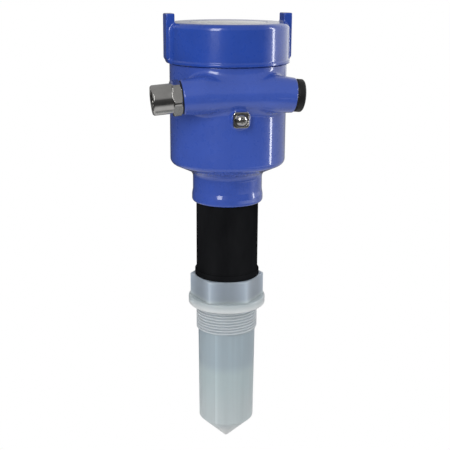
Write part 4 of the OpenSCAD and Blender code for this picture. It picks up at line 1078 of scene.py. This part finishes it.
def build_fitting():
    """Moulded fitting: pointed rod, thread, flange and hexagon, hollow inside."""
    steps = 288
    rows = [(0.0, TIP_Z)]
    for turn in (math.pi / 2 - TIP_SLOPE) * np.arange(1, 7) / 6:
        rows.append((TIP_ROUND * math.sin(turn), TIP_Z + TIP_ROUND - TIP_ROUND * math.cos(turn)))
    rows += fillet([(*rows[-1], 0), (ROD_END_R, ROD_END_Z, 0.8), (ROD_R, THREAD_FOOT, 0),
                    (ROD_R, THREAD_FOOT + 0.6, 0)], 5)[1:-1]
    for z in np.arange(THREAD_FOOT + 0.2, -1.4, 0.154):
        lead = min(1.0, max(0.0, (z - THREAD_FOOT) / 1.3))
        rows.append((ridge(z, THREAD_PITCH, THREAD_ROOT, THREAD_CREST, lead, steps), z))
    rows.append((UNDERCUT_R, -1.0))
    rows += fillet([(UNDERCUT_R, -1.0, 0), (UNDERCUT_R, 0.0, 0.5), (FLANGE_R, 0.0, 1.3),
                    (FLANGE_R, FLANGE_T, 1.4), (27.5, FLANGE_T, 0)])[1:-1]
    hexa = hexagon(HEX_ACROSS, HEX_CORNER_R, HEX_TURN, steps)
    for swell, rise in ((0.7, 0.0), (0.2, 0.15), (0.0, 0.6)):
        rows.append((hexa + swell, FLANGE_T + rise))
    for inset, below in ((0.0, 1.0), (0.0, 0.8), (0.12, 0.4), (0.35, 0.15), (0.9, 0.0)):
        rows.append((hexa - inset, HEX_TOP - below))
    rows += [(SOCKET_R + 0.5, HEX_TOP), (SOCKET_R, HEX_TOP - 0.5), (SOCKET_R, SOCKET_FLOOR),
             (ROD_BORE_R, SOCKET_FLOOR), (ROD_BORE_R, -93.6), (1.0, -111.0), (0.0, -111.0)]
    finish_piece(smooth(outward(grid_skin("fitting_moulding", rows)), 28), "process_fitting")


def build_sleeve():
    """Black sleeve: threaded spigot with its O-ring groove, foot collar and tube."""
    low, foot, top = SLEEVE_LOW[2], FIT_HIGH[2], SLEEVE_HIGH[2]
    bore_r, screw_r, groove_r, tube_r, tube_bore_r = 17.0, 20.0, 17.5, 23.75, 20.75
    groove_low, groove_high = foot - 5.4, foot - 2.6
    collar_r, collar_top = SLEEVE_HIGH[0], foot + 4.6
    corners = [(bore_r, low, 0), (screw_r, low, 0.5), (screw_r, groove_low, 0.2), (groove_r, groove_low, 0.2),
               (groove_r, groove_high, 0.2), (screw_r, groove_high, 0.2), (screw_r, foot, 0),
               (collar_r, foot, 0.4), (collar_r, collar_top, 0.4), (tube_r, collar_top, 0.3),
               (tube_r, top, 0.4), (tube_bore_r, top, 0.4), (tube_bore_r, foot + 2, 0.3),
               (bore_r, foot + 2, 0)]
    finish_piece(smooth(lathe("sleeve_turned", fillet(corners, 4), 224)), "adapter_sleeve")


def build_adapter():
    """Stainless conduit adapter with a hexagon, a male thread behind it and a female one in its barrel."""
    bore_r, foot, hex_low, hex_high, hex_foot_r = 6.5, -12.0, 1.0, 7.2, 11.75
    barrel_r, barrel_top, mouth_r, inner_low = 10.55, 21.2, 9.75, 9.2
    rows = [(bore_r, foot + 0.5), (bore_r + 0.5, foot), (9.0, foot)]
    for z in np.arange(foot + 0.4, 0.2, 0.25):
        rows.append((ridge(z, 1.5, 9.1, 9.9, min(1.0, (z - foot) / 1.2)), z))
    hexa = hexagon(23.0, 12.88, math.radians(12.0), ease=0.4)
    for z in (hex_low, 1.3, 1.6, 2.0, 2.5, 5.7, 6.2, 6.6, 6.9, hex_high):
        edge = min(z - hex_low, hex_high - z)
        rows.append((np.minimum(hexa, hex_foot_r + edge * 1.73), z))
    rows += fillet([(11.3, hex_high, 0), (barrel_r, hex_high, 0.4), (barrel_r, barrel_top - 1.0, 0.4),
                    (mouth_r, barrel_top, 0)], 5)[1:-1]
    rows.append((mouth_r, barrel_top))
    for z in np.arange(barrel_top - 0.5, 9.4, -0.22):
        rows.append((ridge(z, 1.814, 8.55, 9.3), z))
    rows += [(9.3, inner_low), (bore_r, inner_low)]
    adapter = smooth(outward(grid_skin("adapter_turned", rows, wrap=True)), 28)
    finish_piece(place(adapter, entry_matrix(-1)), "conduit_adapter")


def build_plug():
    """Black blind plug with a hexagon socket."""
    foot, head_low, head_top, head_r, socket_floor = -10.0, 1.1, 6.3, 11.7, 2.3
    rows = [(0.0, foot), (9.0, foot)]
    for z in np.arange(foot + 0.3, 0.9, 0.25):
        rows.append((ridge(z, 1.5, 9.0, 9.7, min(1.0, (z - foot) / 1.2)), z))
    rows += fillet([(9.6, head_low, 0), (head_r, head_low, 0.35), (head_r, head_top, 1.5),
                    (5.6, head_top, 0)], 7)[:-1]
    across = 8.0
    socket = hexagon(across, across / math.sqrt(3) - 0.0375, ease=0.15)
    rows += [(socket + 0.45, head_top), (socket, head_top - 0.4), (socket, socket_floor), (0.0, socket_floor)]
    plug = smooth(outward(grid_skin("plug_moulded", rows)), 28)
    finish_piece(place(plug, entry_matrix(1)), "blind_plug")


def clamp_field(p):
    """Square wire clamp with rounded corners and a round pocket for the washer; z points out of it."""
    pocket_r, plate_t, hole_r = 4.8, 1.4, 2.3
    rho = np.hypot(p[:, 0], p[:, 1])
    form = meet(np.abs(p[:, 0]) - CLAMP_HALF, np.abs(p[:, 1]) - CLAMP_HALF, 2.4)
    form = meet(form, p[:, 2] - CLAMP_T, 0.9)
    form = meet(form, -p[:, 2], 0.15)
    form = meet(form, -np.maximum(rho - pocket_r, plate_t - p[:, 2]), 0.35)
    return meet(form, hole_r - rho, 0.1)


def build_clamp():
    """Stamped clamp for the ground wire, a seat gap above its boss."""
    net = surface_net(clamp_field, (-CLAMP_HALF, -CLAMP_HALF, 0.0), (CLAMP_HALF, CLAMP_HALF, CLAMP_T), 0.3)
    clamp = smooth(outward(mesh_object("clamp_stamped", *net)), 40)
    finish_piece(place(clamp, ground_matrix(SEAT_GAP)), "ground_clamp")


# ---- Everything ------------------------------------------------------------

# Width of the broken edges of the nodes that have no form of their own above
EDGE = 0.2
EDGES = {
    "display_case": 0.5, "electronics_cup": 0.5, "terminal_plate": 0.35,
    "key_1": 0.35, "key_2": 0.35, "key_3": 0.35, "key_4": 0.35, "rf_can": 0.3, "rf_lid": 0.3,
    "main_board": 0.08, "rf_board": 0.08, "display_board": 0.08,
    "contact_pins": 0.05, "terminal_screws": 0.1, "module_screws": 0.12, "ground_screw": 0.12,
    "ground_washer": 0.12, "lock_screw_left": 0.12, "lock_screw_right": 0.12,
}
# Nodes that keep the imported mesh, round or hidden as they are
KEPT = ("fitting_oring", "spigot_oring_lower", "spigot_oring_upper", "cover_oring",
        "horn_lens", "antenna_horn")


def build_others():
    """Every node that nothing above stands for."""
    done = {n for o in bpy.data.objects if "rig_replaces" in o for n in o["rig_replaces"]}
    for node, obj in frame["nodes"].items():
        if node in KEPT:
            finish_node(obj, node)
        elif node not in done:
            dress(node, EDGES.get(node, EDGE))


build_floor()
build_world()
build_camera()
build_lights()
build_fitting()
build_sleeve()
build_housing()
build_cover_thread()
build_cover()
build_adapter()
build_plug()
build_clamp()
build_window()
build_others()

bpy.context.scene.view_settings.view_transform = "Standard"
